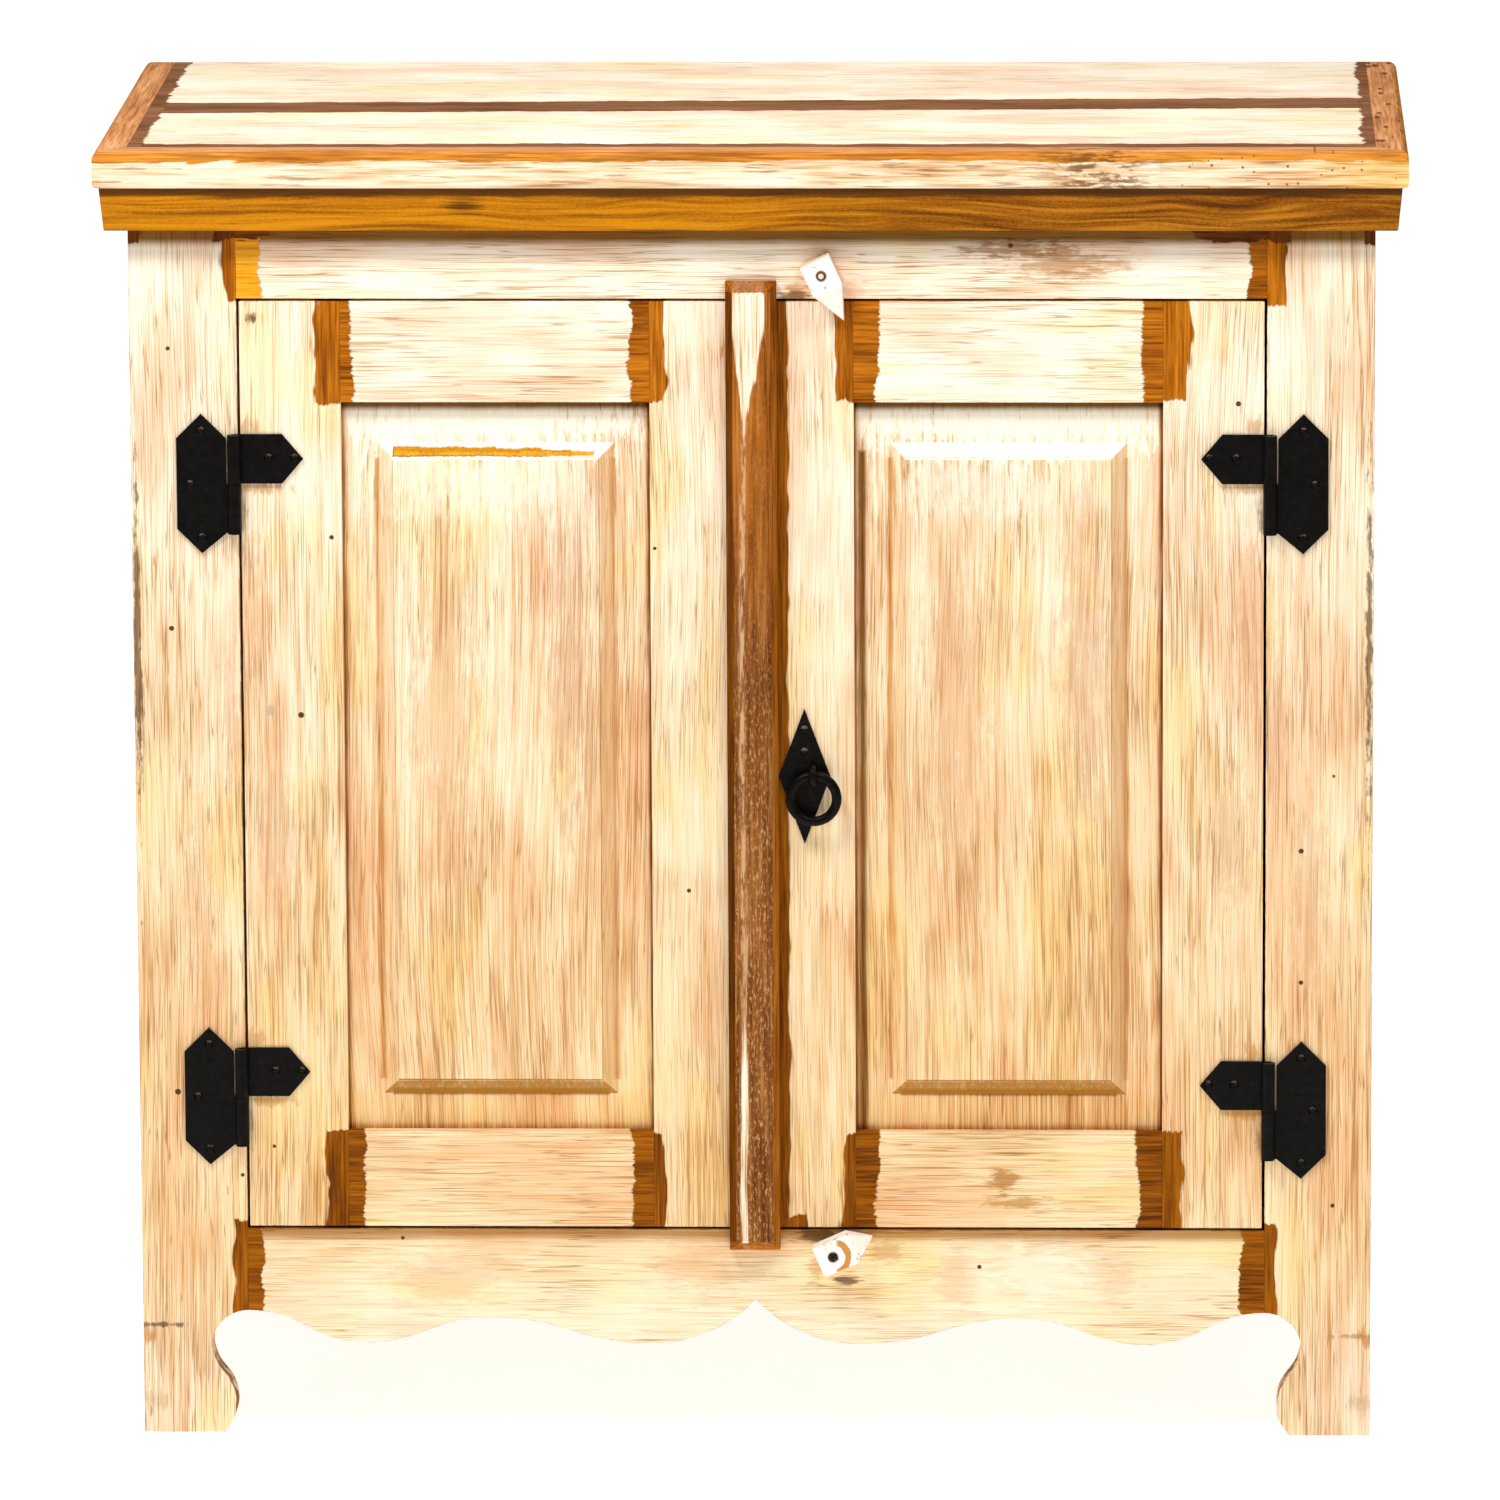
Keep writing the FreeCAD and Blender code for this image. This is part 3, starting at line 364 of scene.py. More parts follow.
def painted_wood(
    name, grain, seed, patches=(), glazes=(), blots=(), plane="XZ", outward=(0, -1, 0),
    load=0.0, tint=(1, 1, 1), bend=0.0, worn=0.8, holes=0.0, facet_light_and_shade=(),
):
    """Dry-brushed cream paint over brown wood, dragged along the grain and left off the patches.

    Load makes the paint thinner everywhere, bend lets the strokes wander, worn wears the edges
    and holes is the share of cells with a worm hole. Each entry of facet_light_and_shade is
    (axis, sign, colour, strength): painted light and shade on the faces turned that way.
    """
    graph = Graph(name)
    coordinates = dict(zip("XYZ", graph.split(graph.place)))
    across, up = coordinates[plane[0]], coordinates[plane[1]]
    normals = graph.split(graph.facing)
    facing_out = graph.add(*[graph.multiply(value, part) for value, part in zip(normals, outward)])
    paint, thinness, medium = brushed_paint(graph, coordinates, grain, seed, load, tint, bend)
    comb = graph.noise(graph.place, drawn_out(grain, 380, 24 if grain == "Z" else 90), seed + 6, 3)
    sweep = graph.noise(graph.place, 38, seed + 7, 1)
    ragged = graph.add(graph.away(comb, 7 * MM), graph.away(sweep, 11 * MM))
    paint = with_blots(graph, paint, across, up, blots, grain, seed)
    paint = with_glazes(graph, paint, across, up, glazes, ragged, medium)
    if holes:
        holed = graph.multiply(specks(graph, across, up, 45, holes), graph.step(facing_out, 0.5, 0.8))
        paint = graph.mix(holed, paint, DIRT_AND_SHADE)
    # Painted light and shade: faces turned along an axis take a lighter or darker colour.
    for axis, sign, colour, strength in facet_light_and_shade:
        turned = graph.multiply(normals["XYZ".index(axis)], sign)
        share = graph.step(turned, 0.15, 0.3, 0, strength)
        paint = graph.mix(graph.multiply(share, graph.step(medium, 0.3, 0.5, 0.8, 1)), paint, colour)

    colour, height = paint, graph.multiply(graph.subtract(1.0, thinness), 0.6)
    for number, patch in enumerate(patches):
        distance = box_distance(graph, across, up, patch, patch.lean)
        distance = graph.add(distance, graph.multiply(ragged, patch.rough))
        bare = graph.step(distance, 0.3 * MM, -0.3 * MM)
        fringe = graph.step(graph.size(distance), 1.2 * MM, 0.2 * MM, 0, 0.35)
        colour = graph.mix(fringe, colour, WORN)
        colour = graph.mix(bare, colour, bare_wood(graph, grain, seed + number, patch.tone))
        height = graph.subtract(height, graph.multiply(bare, 0.7))
    if worn:
        sizes = [graph.size(value) for value in normals]
        squareness = graph.larger(graph.larger(sizes[0], sizes[1]), sizes[2])
        chip = graph.noise(graph.place, (150, 150, 60), seed + 10, 3, 0.6)
        share = graph.multiply(graph.step(squareness, 0.985, 0.93), graph.step(chip, 0.45, 0.56, 0, worn))
        colour = graph.mix(share, colour, WORN)
    inner = bare_wood(graph, grain, seed + 11, PLAIN)
    colour = graph.mix(graph.step(facing_out, -0.3, -0.6), colour, inner)
    roughness = graph.step(thinness, 0.3, 0.7, 0.6, 0.75)
    return graph.finish(colour, roughness, graph.bump(height, 0.35 * MM), 0.06)


def plain_wood(name, grain, seed):
    graph = Graph(name)
    colour = bare_wood(graph, grain, seed, PLAIN)
    ridge = graph.noise(graph.place, drawn_out(grain, 500, 18), seed)
    return graph.finish(colour, 0.7, graph.bump(ridge, 0.3 * MM))


def dress(name, material):
    item = nodes[name]
    item.data.materials.clear()
    item.data.materials.append(material)


def round_edges(name, width, segments=2):
    """Soften the sawn edges of a CAD node."""
    item = nodes[name]
    weld = item.modifiers.new("weld", "WELD")
    weld.merge_threshold = 0.01 * MM
    bevel = item.modifiers.new("worn_edges", "BEVEL")
    bevel.width = width
    bevel.segments = segments
    bevel.limit_method = "ANGLE"
    bevel.angle_limit = radians(35)
    bevel.use_clamp_overlap = True


def strip(name, side, depth, low=-FAR, high=FAR, tone=BROWN, axis=0, rough=1.0):
    """Bare wood along one upright edge of a piece, between two heights. Depth is in millimetres."""
    start, end = (corner[axis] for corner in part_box(name))
    across = (-FAR, start + depth * MM) if side < 0 else (end - depth * MM, FAR)
    return Patch(across, (low, high), tone, rough)


# --- The front frame ---


def shade_under_moulding():
    """A painted shadow along the top of the front frame, under the moulding."""
    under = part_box("under_moulding_front")[0].z
    return Glaze(WHOLE, (under - 0.011, FAR), srgb(132, 102, 50), 1.0, 4.0, False)


def dress_front_stiles():
    """Stiles, bare at the joints and cracked at the foot. Blots' heights are above the floor."""
    opening_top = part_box("front_top_rail")[0].z
    opening_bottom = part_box("front_apron")[1].z
    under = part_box("under_moulding_front")[0].z
    inner, outer = (corner.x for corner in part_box("front_stile_right"))
    for side, bare_above, bare_below, crack_height, crack_strength, tint in (
        ("left", 8.6, 9.1, 0.077, 0.8, (1.0, 1.0, 1.0)),
        ("right", 11.7, 8.1, 0.071, 0.45, (1.0, 0.99, 0.97)),
    ):
        sign = SIDES[side]
        name = f"front_stile_{side}"
        patches = [
            strip(name, -sign, bare_above, opening_top - 0.004, FAR),
            strip(name, -sign, bare_below, -FAR, opening_bottom + 0.006, DEEP),
            strip(name, -sign, 15, under - 0.009, FAR, SHADED),
            strip(name, sign, 8, under - 0.011, FAR, SHADED),
        ]
        blots = [
            Blot((sign * (outer - 0.012), crack_height), (0.022, 0.0022), DIRT_AND_SHADE, crack_strength),
            Blot((sign * (outer - 0.004), 0.069), (0.006, 0.009), OCHRE, 0.7),
            Blot((sign * (outer - 0.008), 0.024), (0.012, 0.010), srgb(150, 104, 56), 0.3),
            Blot((sign * (outer - 0.003), 0.56), (0.003, 0.15), DIRT_AND_SHADE, 0.8),
            Blot((sign * (inner + 0.006), 0.50), (0.010, 0.07), srgb(214, 160, 122), 0.4),
            Blot((sign * (inner + 0.030), 0.38), (0.016, 0.09), srgb(208, 158, 112), 0.35),
        ]
        dress(name, painted_wood(
            name, "Z", 3.1 + sign, patches, [shade_under_moulding()], blots,
            tint=tint, bend=0.012, holes=0.02,
        ))
        round_edges(name, 1.0 * MM)


def dress_front_rail():
    name = "front_top_rail"
    opening_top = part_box(name)[0].z
    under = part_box("under_moulding_front")[0].z
    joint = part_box("front_stile_right")[0].x
    button_x, button_z = middle_of("turn_button_top")
    patches = [
        strip(name, -1, 17.3, tone=GOLDEN), strip(name, 1, 12.3),
        strip(name, -1, 24, under - 0.007, FAR, SHADED), strip(name, 1, 50, under - 0.009, FAR, SHADED),
    ]
    blots = [
        Blot((joint - 0.169, under - 0.015), (0.045, 0.007), srgb(150, 94, 34), 0.7),
        Blot((joint - 0.138, under - 0.024), (0.045, 0.016), srgb(174, 118, 56), 0.6),
        Blot((button_x - 0.017, button_z - 0.008), (0.012, 0.014), OCHRE, 0.6),
        Blot((button_x - 0.022, opening_top + 0.002), (0.016, 0.004), DIRT_AND_SHADE, 0.7),
        Blot((button_x + 0.020, opening_top + 0.006), (0.012, 0.012), srgb(214, 160, 120), 0.5),
    ]
    dress(name, painted_wood(
        name, "X", 7.7, patches, [shade_under_moulding()], blots, load=-0.04, holes=0.01,
    ))
    round_edges(name, 0.8 * MM)


def dress_apron():
    name = "front_apron"
    opening_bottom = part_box(name)[1].z
    button_x, button_z = middle_of("turn_button_bottom")
    # A painted shadow under the doors, along the top of the apron.
    shade = Glaze(WHOLE, (opening_bottom - 0.007, FAR), srgb(176, 140, 90), 0.9, 4.0, False)
    blots = [
        Blot((button_x + 0.003, button_z - 0.020), (0.011, 0.006), DIRT_AND_SHADE, 0.8),
        # The next blot is a painted shadow under the doors where they meet.
        Blot((button_x - 0.014, opening_bottom - 0.004), (0.024, 0.007), DIRT_AND_SHADE, 0.8),
        Blot((button_x + 0.030, button_z), (0.014, 0.010), srgb(196, 144, 84), 0.55),
        Blot((button_x - 0.018, button_z - 0.014), (0.008, 0.016), srgb(196, 150, 88), 0.6),
        Blot((button_x + 0.079, button_z - 0.018), (0.018, 0.024), srgb(220, 176, 140), 0.45),
        Blot((button_x + 0.136, button_z - 0.014), (0.050, 0.024), WHITE, 0.5),
        Blot((button_x + 0.189, button_z - 0.022), (0.022, 0.022), srgb(220, 176, 140), 0.4),
        Blot((button_x - 0.100, button_z - 0.012), (0.040, 0.026), srgb(214, 172, 128), 0.4),
        Blot((button_x - 0.276, button_z - 0.020), (0.050, 0.026), srgb(220, 178, 146), 0.4),
    ]
    dress(name, painted_wood(
        name, "X", 11.3, [strip(name, -1, 10.2, tone=DEEP), strip(name, 1, 16, tone=DEEP)], [shade], blots,
        load=-0.05, holes=0.03, worn=1.0,
    ))
    round_edges(name, 1.2 * MM)


# --- The doors ---


def field_of(name):
    """The raised, foremost face of a door panel, as (left, right), (bottom, top)."""
    low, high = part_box(name)
    inset = 10 * MM
    return spans([point for point in front_points(name) if low.x + inset < point.x < high.x - inset])


def dress_door_rails():
    for side, end, bare_left, bare_right, load, tone in (
        ("left", "top", 7.8, 12.6, -0.05, BROWN), ("left", "bottom", 10.0, 15.6, -0.015, DEEP),
        ("right", "top", 16.0, 14.0, -0.05, BROWN), ("right", "bottom", 15.2, 16.6, -0.015, DEEP),
    ):
        name = f"door_{side}_{end}_rail"
        patches = [
            strip(name, -1, bare_left + TONGUE, tone=tone), strip(name, 1, bare_right + TONGUE, tone=tone),
        ]
        blots = ()
        if name == "door_right_bottom_rail":
            across, up = middle_of(name)
            blots = (Blot((across - 0.004, up - 0.001), (0.014, 0.010), srgb(176, 120, 50), 0.8),
                     Blot((across + 0.004, up - 0.016), (0.03, 0.006), srgb(190, 140, 70), 0.7))
        seed = 13.0 + 5 * SIDES[side] + len(end)
        dress(name, painted_wood(name, "X", seed, patches, blots=blots, load=load, worn=0.5))
        round_edges(name, 0.7 * MM)


def hinge_stile_blots(side):
    """Dirt and rust around the straps, two rosy places, and two marks on the left door."""
    sign = SIDES[side]
    name = f"door_{side}_hinge_stile"
    middle = middle_of(name)[1]
    blots = []
    for level in ("upper", "lower"):
        low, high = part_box(f"door_{side}_leaf_{level}")
        knuckle = low.x if sign < 0 else high.x
        blots += [Blot((knuckle - sign * 0.020, low.z - 0.003), (0.024, 0.006), OCHRE, 0.6),
                  Blot((knuckle - sign * 0.008, low.z - 0.022), (0.006, 0.020), DIRT_AND_SHADE, 0.45),
                  Blot((knuckle - sign * 0.014, high.z + 0.006), (0.010, 0.008), OCHRE, 0.5)]
    blots += [Blot((knuckle - sign * 0.016, middle + 0.107), (0.014, 0.07), srgb(214, 158, 120), 0.45),
              Blot((knuckle - sign * 0.030, middle - 0.053), (0.018, 0.06), srgb(206, 154, 116), 0.35)]
    if side == "left":
        low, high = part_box(name)
        blots += [Blot((low.x + 0.009, high.z - 0.012), (0.006, 0.006), DIRT_AND_SHADE, 0.9),
                  Blot((low.x + 0.017, middle + 0.039), (0.005, 0.006), srgb(196, 170, 140), 0.8)]
    return blots


def dress_door_stiles():
    for side, part, bare_above, bare_below in (
        ("left", "hinge", 16.8, 15.6), ("left", "meeting", 10.0, 8.0),
        ("right", "hinge", 17.6, 13.2), ("right", "meeting", 12.7, 9.1),
    ):
        sign = SIDES[side]
        name = f"door_{side}_{part}_stile"
        top_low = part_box(f"door_{side}_top_rail")[0].z
        bottom_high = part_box(f"door_{side}_bottom_rail")[1].z
        toward_panel = -sign if part == "hinge" else sign
        patches = [
            strip(name, toward_panel, bare_above, top_low, FAR),
            strip(name, toward_panel, bare_below, -FAR, bottom_high, DEEP),
        ]
        if name == "door_right_meeting_stile":
            patches.append(strip(name, -1, 23.4, tone=DEEP, rough=0.5))
            patches.append(strip(name, -1, 34, -FAR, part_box(name)[0].z + 8 * MM, DEEP))
        dress(name, painted_wood(
            name, "Z", 23.0 + 3 * sign + len(part), patches,
            blots=hinge_stile_blots(side) if part == "hinge" else (),
            load=0.005 if name == "door_left_meeting_stile" else 0.02, bend=0.015, worn=0.5, holes=0.02,
        ))
        round_edges(name, 0.7 * MM)


def panel_glazes(name):
    """Dirt in the groove and along the field's bevels, tints over the flat border, and a painted shadow
    under the top rail of a door panel.
    """
    low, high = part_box(name)
    (left, right), (bottom, top) = field_of(name)
    bevel, tongue = 9.5 * MM, 7 * MM
    inner_left, inner_right = low.x + tongue, high.x - tongue
    inner_bottom, inner_top = low.z + tongue, high.z - tongue
    edge = srgb(206, 154, 76)
    glazes = [
        Glaze((-FAR, inner_left + 3 * MM), WHOLE, edge, 0.65, 2.5),
        Glaze((inner_right - 3 * MM, FAR), WHOLE, srgb(176, 124, 60), 0.9, 2.0),
        # A painted shadow cast by the top rail across the panel's top.
        Glaze(WHOLE, (inner_top - 6 * MM, FAR), srgb(110, 80, 34), 1.0, 3.0, False),
        Glaze(WHOLE, (-FAR, bottom - bevel), srgb(250, 232, 190), 0.5, 8.0, False),
        Glaze(WHOLE, (-FAR, inner_bottom + 3 * MM), edge, 0.6, 2.5),
        Glaze((left - bevel - 3 * MM, left - bevel + 1 * MM), (bottom, top), edge, 0.8, 1.5),
        Glaze((right + bevel - 2 * MM, right + bevel + 2 * MM), (bottom, top), edge, 0.8, 1.5),
        Glaze((left - 4 * MM, right + 4 * MM), (bottom - bevel - 2 * MM, bottom - bevel + 3 * MM),
              srgb(170, 128, 60), 0.9, 1.2, False),
        Glaze((-FAR, inner_left + 1.6 * MM), WHOLE, GROOVE, 0.6, 0.7, False),
        Glaze((inner_right - 1.6 * MM, FAR), WHOLE, GROOVE, 0.6, 0.7, False),
    ]
    half = 0.3 * MM
    for line, strength in ((left, 0.3), (right, 0.6), (right + bevel, 0.6)):
        glazes.append(Glaze((line - half, line + half), (bottom, top), GROOVE, strength, 0.5, False))
    if name == "door_right_panel":
        glazes.append(Glaze((inner_left + 3 * MM, inner_left + 8 * MM), (-FAR, inner_top - 35 * MM),
                            srgb(138, 108, 42), 0.95, 2.0, False))
    return glazes


def dress_door_panels():
    tan, rosy_tan = srgb(222, 176, 112), srgb(214, 166, 112)
    for side, sign in SIDES.items():
        name = f"door_{side}_panel"
        (left, right), (bottom, top) = field_of(name)
        border_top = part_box(name)[1].z - 20 * MM
        middle = (bottom + top) / 2
        patches = []
        if side == "left":
            patches = [
                Patch((left + 1 * MM, left + reach * MM), (top + 2.2 * MM, top + height * MM), GOLDEN, 0.3)
                for reach, height in ((70, 7.2), (102, 6.2), (122, 5.2), (138, 4.2))
            ]
        blots = [
            Blot(((left + right) / 2, border_top), (0.20, 0.032), WHITE, 0.85),
            Blot((left + 0.05, top - 0.02), (0.09, 0.030), WHITE, 0.45),
            Blot((left + 0.035, middle + 0.05), (0.028, 0.15), srgb(216, 170, 128), 0.45),
            Blot((right - 0.020, middle + 0.08), (0.020, 0.15), srgb(208, 162, 132), 0.45),
        ]
        dress(name, painted_wood(
            name, "Z", 31.0 + 4 * sign, patches, panel_glazes(name), blots,
            load=0.035, bend=0.02, worn=0.0, tint=(1, 1, 1) if side == "left" else (0.995, 0.975, 0.94),
            # A painted highlight on the upward bevel, painted shade on the downward and side bevels.
            facet_light_and_shade=[("Z", 1, WHITE, 0.85), ("Z", -1, srgb(166, 114, 36), 0.85),
                    ("X", -1, tan, 0.3), ("X", 1, rosy_tan, 0.6)],
        ))
        round_edges(name, 0.6 * MM)


def dress_astragal():
    name = "astragal"
    low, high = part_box(name)
    graph = Graph(name)
    x, _y, z = graph.split(graph.place)
    up = graph.multiply(graph.subtract(z, low.z), 1 / (high.z - low.z))
    seed = 91.0
    streak = graph.noise(graph.place, drawn_out("Z", 420, 14), seed, 3, 0.6)
    scratch = graph.noise(graph.place, (640, 640, 190), seed + 1, 3, 0.7)
    slow = graph.noise(graph.place, (60, 60, 9), seed + 2, 2)
    gaps = graph.noise(graph.place, (300, 300, 45), seed + 3, 3, 0.7)

    value = graph.add(graph.multiply(streak, 0.6), graph.multiply(slow, 0.4))
    rusty, worn = toned(graph, value, RUSTY), toned(graph, value, WORN_BROWN)
    colour = graph.mix(graph.step(up, 0.835, 0.57), rusty, worn)
    scratched = graph.multiply(graph.step(scratch, 0.53, 0.64), graph.step(up, 0.747, 0.467, 0.2, 0.75))
    colour = graph.mix(scratched, colour, srgb(208, 160, 112))

    # What is left of the paint: a wide tongue at the top, a thin line below and a narrow tail.
    reach = graph.add(
        graph.step(up, 0.82, 0.968, -1.0 * MM, 10.5 * MM), graph.step(up, 0.334, 0.158, 0, 3.2 * MM),
    )
    middle = graph.step(up, 0.776, 0.982, -6.5 * MM, -1.5 * MM)
    off = graph.size(graph.subtract(x, graph.add(middle, graph.away(slow, 4.9 * MM))))
    inside = graph.subtract(reach, graph.add(off, graph.away(streak, 7 * MM)))
    cream = graph.step(inside, -0.6 * MM, 0.8 * MM)
    pale = graph.step(graph.add(off, graph.away(streak, 9 * MM)), 3 * MM, 0.5 * MM, 0, 0.8)
    pale = graph.multiply(pale, graph.step(gaps, 0.42, 0.56, 0.1, 1))
    colour = graph.mix(pale, colour, srgb(222, 176, 130))
    paint = graph.ramp(graph.noise(graph.place, drawn_out("Z", 700, 16), seed + 4), PAINT_STOPS)
    colour = graph.mix(graph.multiply(cream, 0.95), colour, paint)

    dark = bare_wood(graph, "Z", seed + 5, EDGE_DARK)
    colour = graph.mix(graph.step(x, low.x + 5.2 * MM, low.x + 4.4 * MM), colour, dark)
    brown = bare_wood(graph, "Z", seed + 6, EDGE_BROWN)
    colour = graph.mix(graph.step(x, high.x - 4.4 * MM, high.x - 3.6 * MM), colour, brown)
    top_end = graph.step(z, high.z - 7 * MM, high.z - 6 * MM)
    bottom_end = graph.step(z, low.z + 7 * MM, low.z + 6 * MM)
    colour = graph.mix(graph.multiply(graph.larger(top_end, bottom_end), 0.9), colour, brown)
    dress(name, graph.finish(colour, 0.6, graph.bump(graph.add(streak, scratch), 0.25 * MM), 0.03))
    round_edges(name, 3.5 * MM, 5)


# --- Ends, top, moulding and inside ---


def dress_end_rails(side, outward, seed):
    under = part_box(f"under_moulding_{side}")[0].z
    for part, tone, shaded in (
        ("top", BROWN, [Patch(WHOLE, (under - 0.006, FAR), SHADED)]), ("bottom", DEEP, []),
    ):
        name = f"side_{part}_rail_{side}"
        patches = [
            strip(name, -1, 12 + TONGUE, tone=tone, axis=1),
            strip(name, 1, 13 + TONGUE, tone=tone, axis=1),
        ]
        dress(name, painted_wood(name, "Y", seed + len(part), patches + shaded, plane="YZ", outward=outward))
        round_edges(name, 0.8 * MM)


def dress_end_stiles(side, outward, seed):
    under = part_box(f"under_moulding_{side}")[0].z
    top_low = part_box(f"side_top_rail_{side}")[0].z
    bottom_low, bottom_high = (corner.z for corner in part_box(f"side_bottom_rail_{side}"))
    for part, inner_side in (("front", 1), ("rear", -1)):
        name = f"side_{part}_stile_{side}"
        patches = [
            strip(name, inner_side, 11, top_low, FAR, axis=1),
            strip(name, inner_side, 10, bottom_low - 0.004, bottom_high, DEEP, axis=1),
            Patch(WHOLE, (under - 0.004, FAR), SHADED),
        ]
        dress(name, painted_wood(
            name, "Z", seed + 2 + len(part), patches, plane="YZ", outward=outward, bend=0.02,
        ))
        round_edges(name, 0.8 * MM)


def dress_end_panel(side, outward, seed):
    name = f"side_panel_{side}"
    low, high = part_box(name)
    edge, bevel_tan = srgb(206, 148, 74), srgb(226, 182, 122)
    glazes = [
        Glaze((-FAR, low.y + 11 * MM), WHOLE, edge, 0.8, 3),
        Glaze((high.y - 11 * MM, FAR), WHOLE, edge, 0.8, 3),
        Glaze(WHOLE, (high.z - 13 * MM, FAR), srgb(150, 116, 70), 0.9, 3),
        Glaze(WHOLE, (-FAR, low.z + 11 * MM), edge, 0.8, 3),
    ]
    dress(name, painted_wood(
        name, "Z", seed + 5, (), glazes, plane="YZ", outward=outward, load=0.02, worn=0.0, bend=0.04,
        # A painted highlight on the upward bevel, painted shade on the downward and side bevels.
        facet_light_and_shade=[("Z", 1, WHITE, 0.8), ("Z", -1, srgb(176, 130, 70), 0.7),
                ("Y", -1, bevel_tan, 0.5), ("Y", 1, bevel_tan, 0.5)],
    ))
    round_edges(name, 0.6 * MM)


def dress_ends():
    for side, sign in SIDES.items():
        outward = (sign, 0, 0)
        seed = 41.0 + 7 * sign
        dress_end_rails(side, outward, seed)
        dress_end_stiles(side, outward, seed)
        dress_end_panel(side, outward, seed)


def dress_planks():
    front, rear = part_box("top_plank_front"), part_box("top_plank_rear")
    seam = (front[1].y + rear[0].y) / 2
    lean = 0.03
    left, right = front[0].x + 10 * MM, front[1].x - 8 * MM
    ends = [Patch((-FAR, left), WHOLE, WALNUT), Patch((right, FAR), WHOLE, WALNUT)]
    for name, seed, patches in (
        ("top_plank_front", 51.0, [Patch(WHOLE, (seam - 27 * MM, FAR), WALNUT, 0.8, lean),
                                   Patch(WHOLE, (-FAR, front[0].y + 15 * MM), WALNUT)]),
        ("top_plank_rear", 55.0, [Patch(WHOLE, (-FAR, seam + 24 * MM), WALNUT, 0.8, lean)]),
    ):
        dress(name, painted_wood(
            name, "X", seed, patches + ends, plane="XY", outward=(0, 0, 1),
            load=-0.08, tint=(1, 0.975, 0.95), worn=0.0,
        ))
        round_edges(name, 0.3 * MM)


def with_front_band_marks(graph, colour, painted, broad, seed):
    """A scuff on the front band, yellow paint toward its right end, and worm holes there."""
    right_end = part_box("top_edge_front")[1].x
    x, _y, z = graph.split(graph.place)
    from_scuff = graph.size(graph.subtract(x, right_end - 0.209))
    speckle = graph.noise(graph.place, drawn_out("X", 300, 70), seed + 8, 3, 0.7)
    scuffed = graph.multiply(graph.step(from_scuff, 0.06, 0.01), graph.step(speckle, 0.44, 0.60))
    colour = graph.mix(graph.multiply(scuffed, 0.85), colour, srgb(112, 66, 14))
    wavering = graph.add(x, graph.away(broad, 0.1))
    yellow = graph.step(wavering, right_end - 0.089, right_end - 0.009, 0, 0.8)
    colour = graph.mix(graph.multiply(painted, yellow), colour, srgb(250, 226, 150), "MULTIPLY")
    toward_end = graph.step(x, right_end - 0.189, right_end - 0.129)
    worm_holes = graph.multiply(specks(graph, x, z, 95, 0.6), toward_end)
    return graph.mix(worm_holes, colour, srgb(150, 104, 40))


def with_dents(graph, colour, upright):
    """Small dark dents in the upper side of a band."""
    x, y, _z = graph.split(graph.place)
    dents = specks(graph, x, graph.multiply(y, 0.35), 70, 0.95, 2.4)
    dents = graph.multiply(dents, graph.step(upright, 0.8, 0.95), 0.85)
    return graph.mix(dents, colour, srgb(92, 52, 30))


def dress_top_bands():
    """The bands around the top: bare above, painted on their faces."""
    for name, grain, seed in (
        ("top_edge_left", "Y", 61.0), ("top_edge_right", "Y", 63.0), ("top_edge_front", "X", 65.0),
    ):
        graph = Graph(name)
        z, upright = graph.split(graph.place)[2], graph.split(graph.facing)[2]
        wood = bare_wood(graph, grain, seed, PALE_END)
        orange = bare_wood(graph, grain, seed + 2, ORANGE)
        wood = graph.mix(graph.step(upright, 0.97, 0.80), wood, orange)
        fine = graph.noise(graph.place, drawn_out(grain, 700, 22), seed)
        medium = graph.noise(graph.place, drawn_out(grain, 230, 14), seed + 1)
        broad = graph.noise(graph.place, drawn_out(grain, 60, 8), seed + 2, 3)
        thinness = graph.add(
            graph.multiply(fine, 0.4), graph.multiply(medium, 0.35), graph.multiply(broad, 0.35),
        )
        paint = graph.ramp(thinness, PAINT_STOPS)
        comb = graph.noise(graph.place, drawn_out(grain, 400, 40), seed + 6, 2)
        ragged = graph.add(graph.away(comb, 6 * MM), graph.away(broad, 7 * MM))
        border = graph.add(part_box(name)[1].z - 7.0 * MM, ragged)
        painted = graph.step(graph.subtract(z, border), 0.3 * MM, -0.3 * MM)
        colour = graph.mix(painted, wood, paint)
        scrape = graph.noise(graph.place, drawn_out(grain, 350, 25), seed + 12, 3)
        colour = graph.mix(graph.step(scrape, 0.57, 0.66, 0, 0.65), colour, srgb(150, 98, 40))
        if name == "top_edge_front":
            colour = with_front_band_marks(graph, colour, painted, broad, seed)
        if name == "top_edge_right":
            colour = with_dents(graph, colour, upright)
        dress(name, graph.finish(colour, 0.62, graph.bump(graph.subtract(1.0, thinness), 0.35 * MM)))


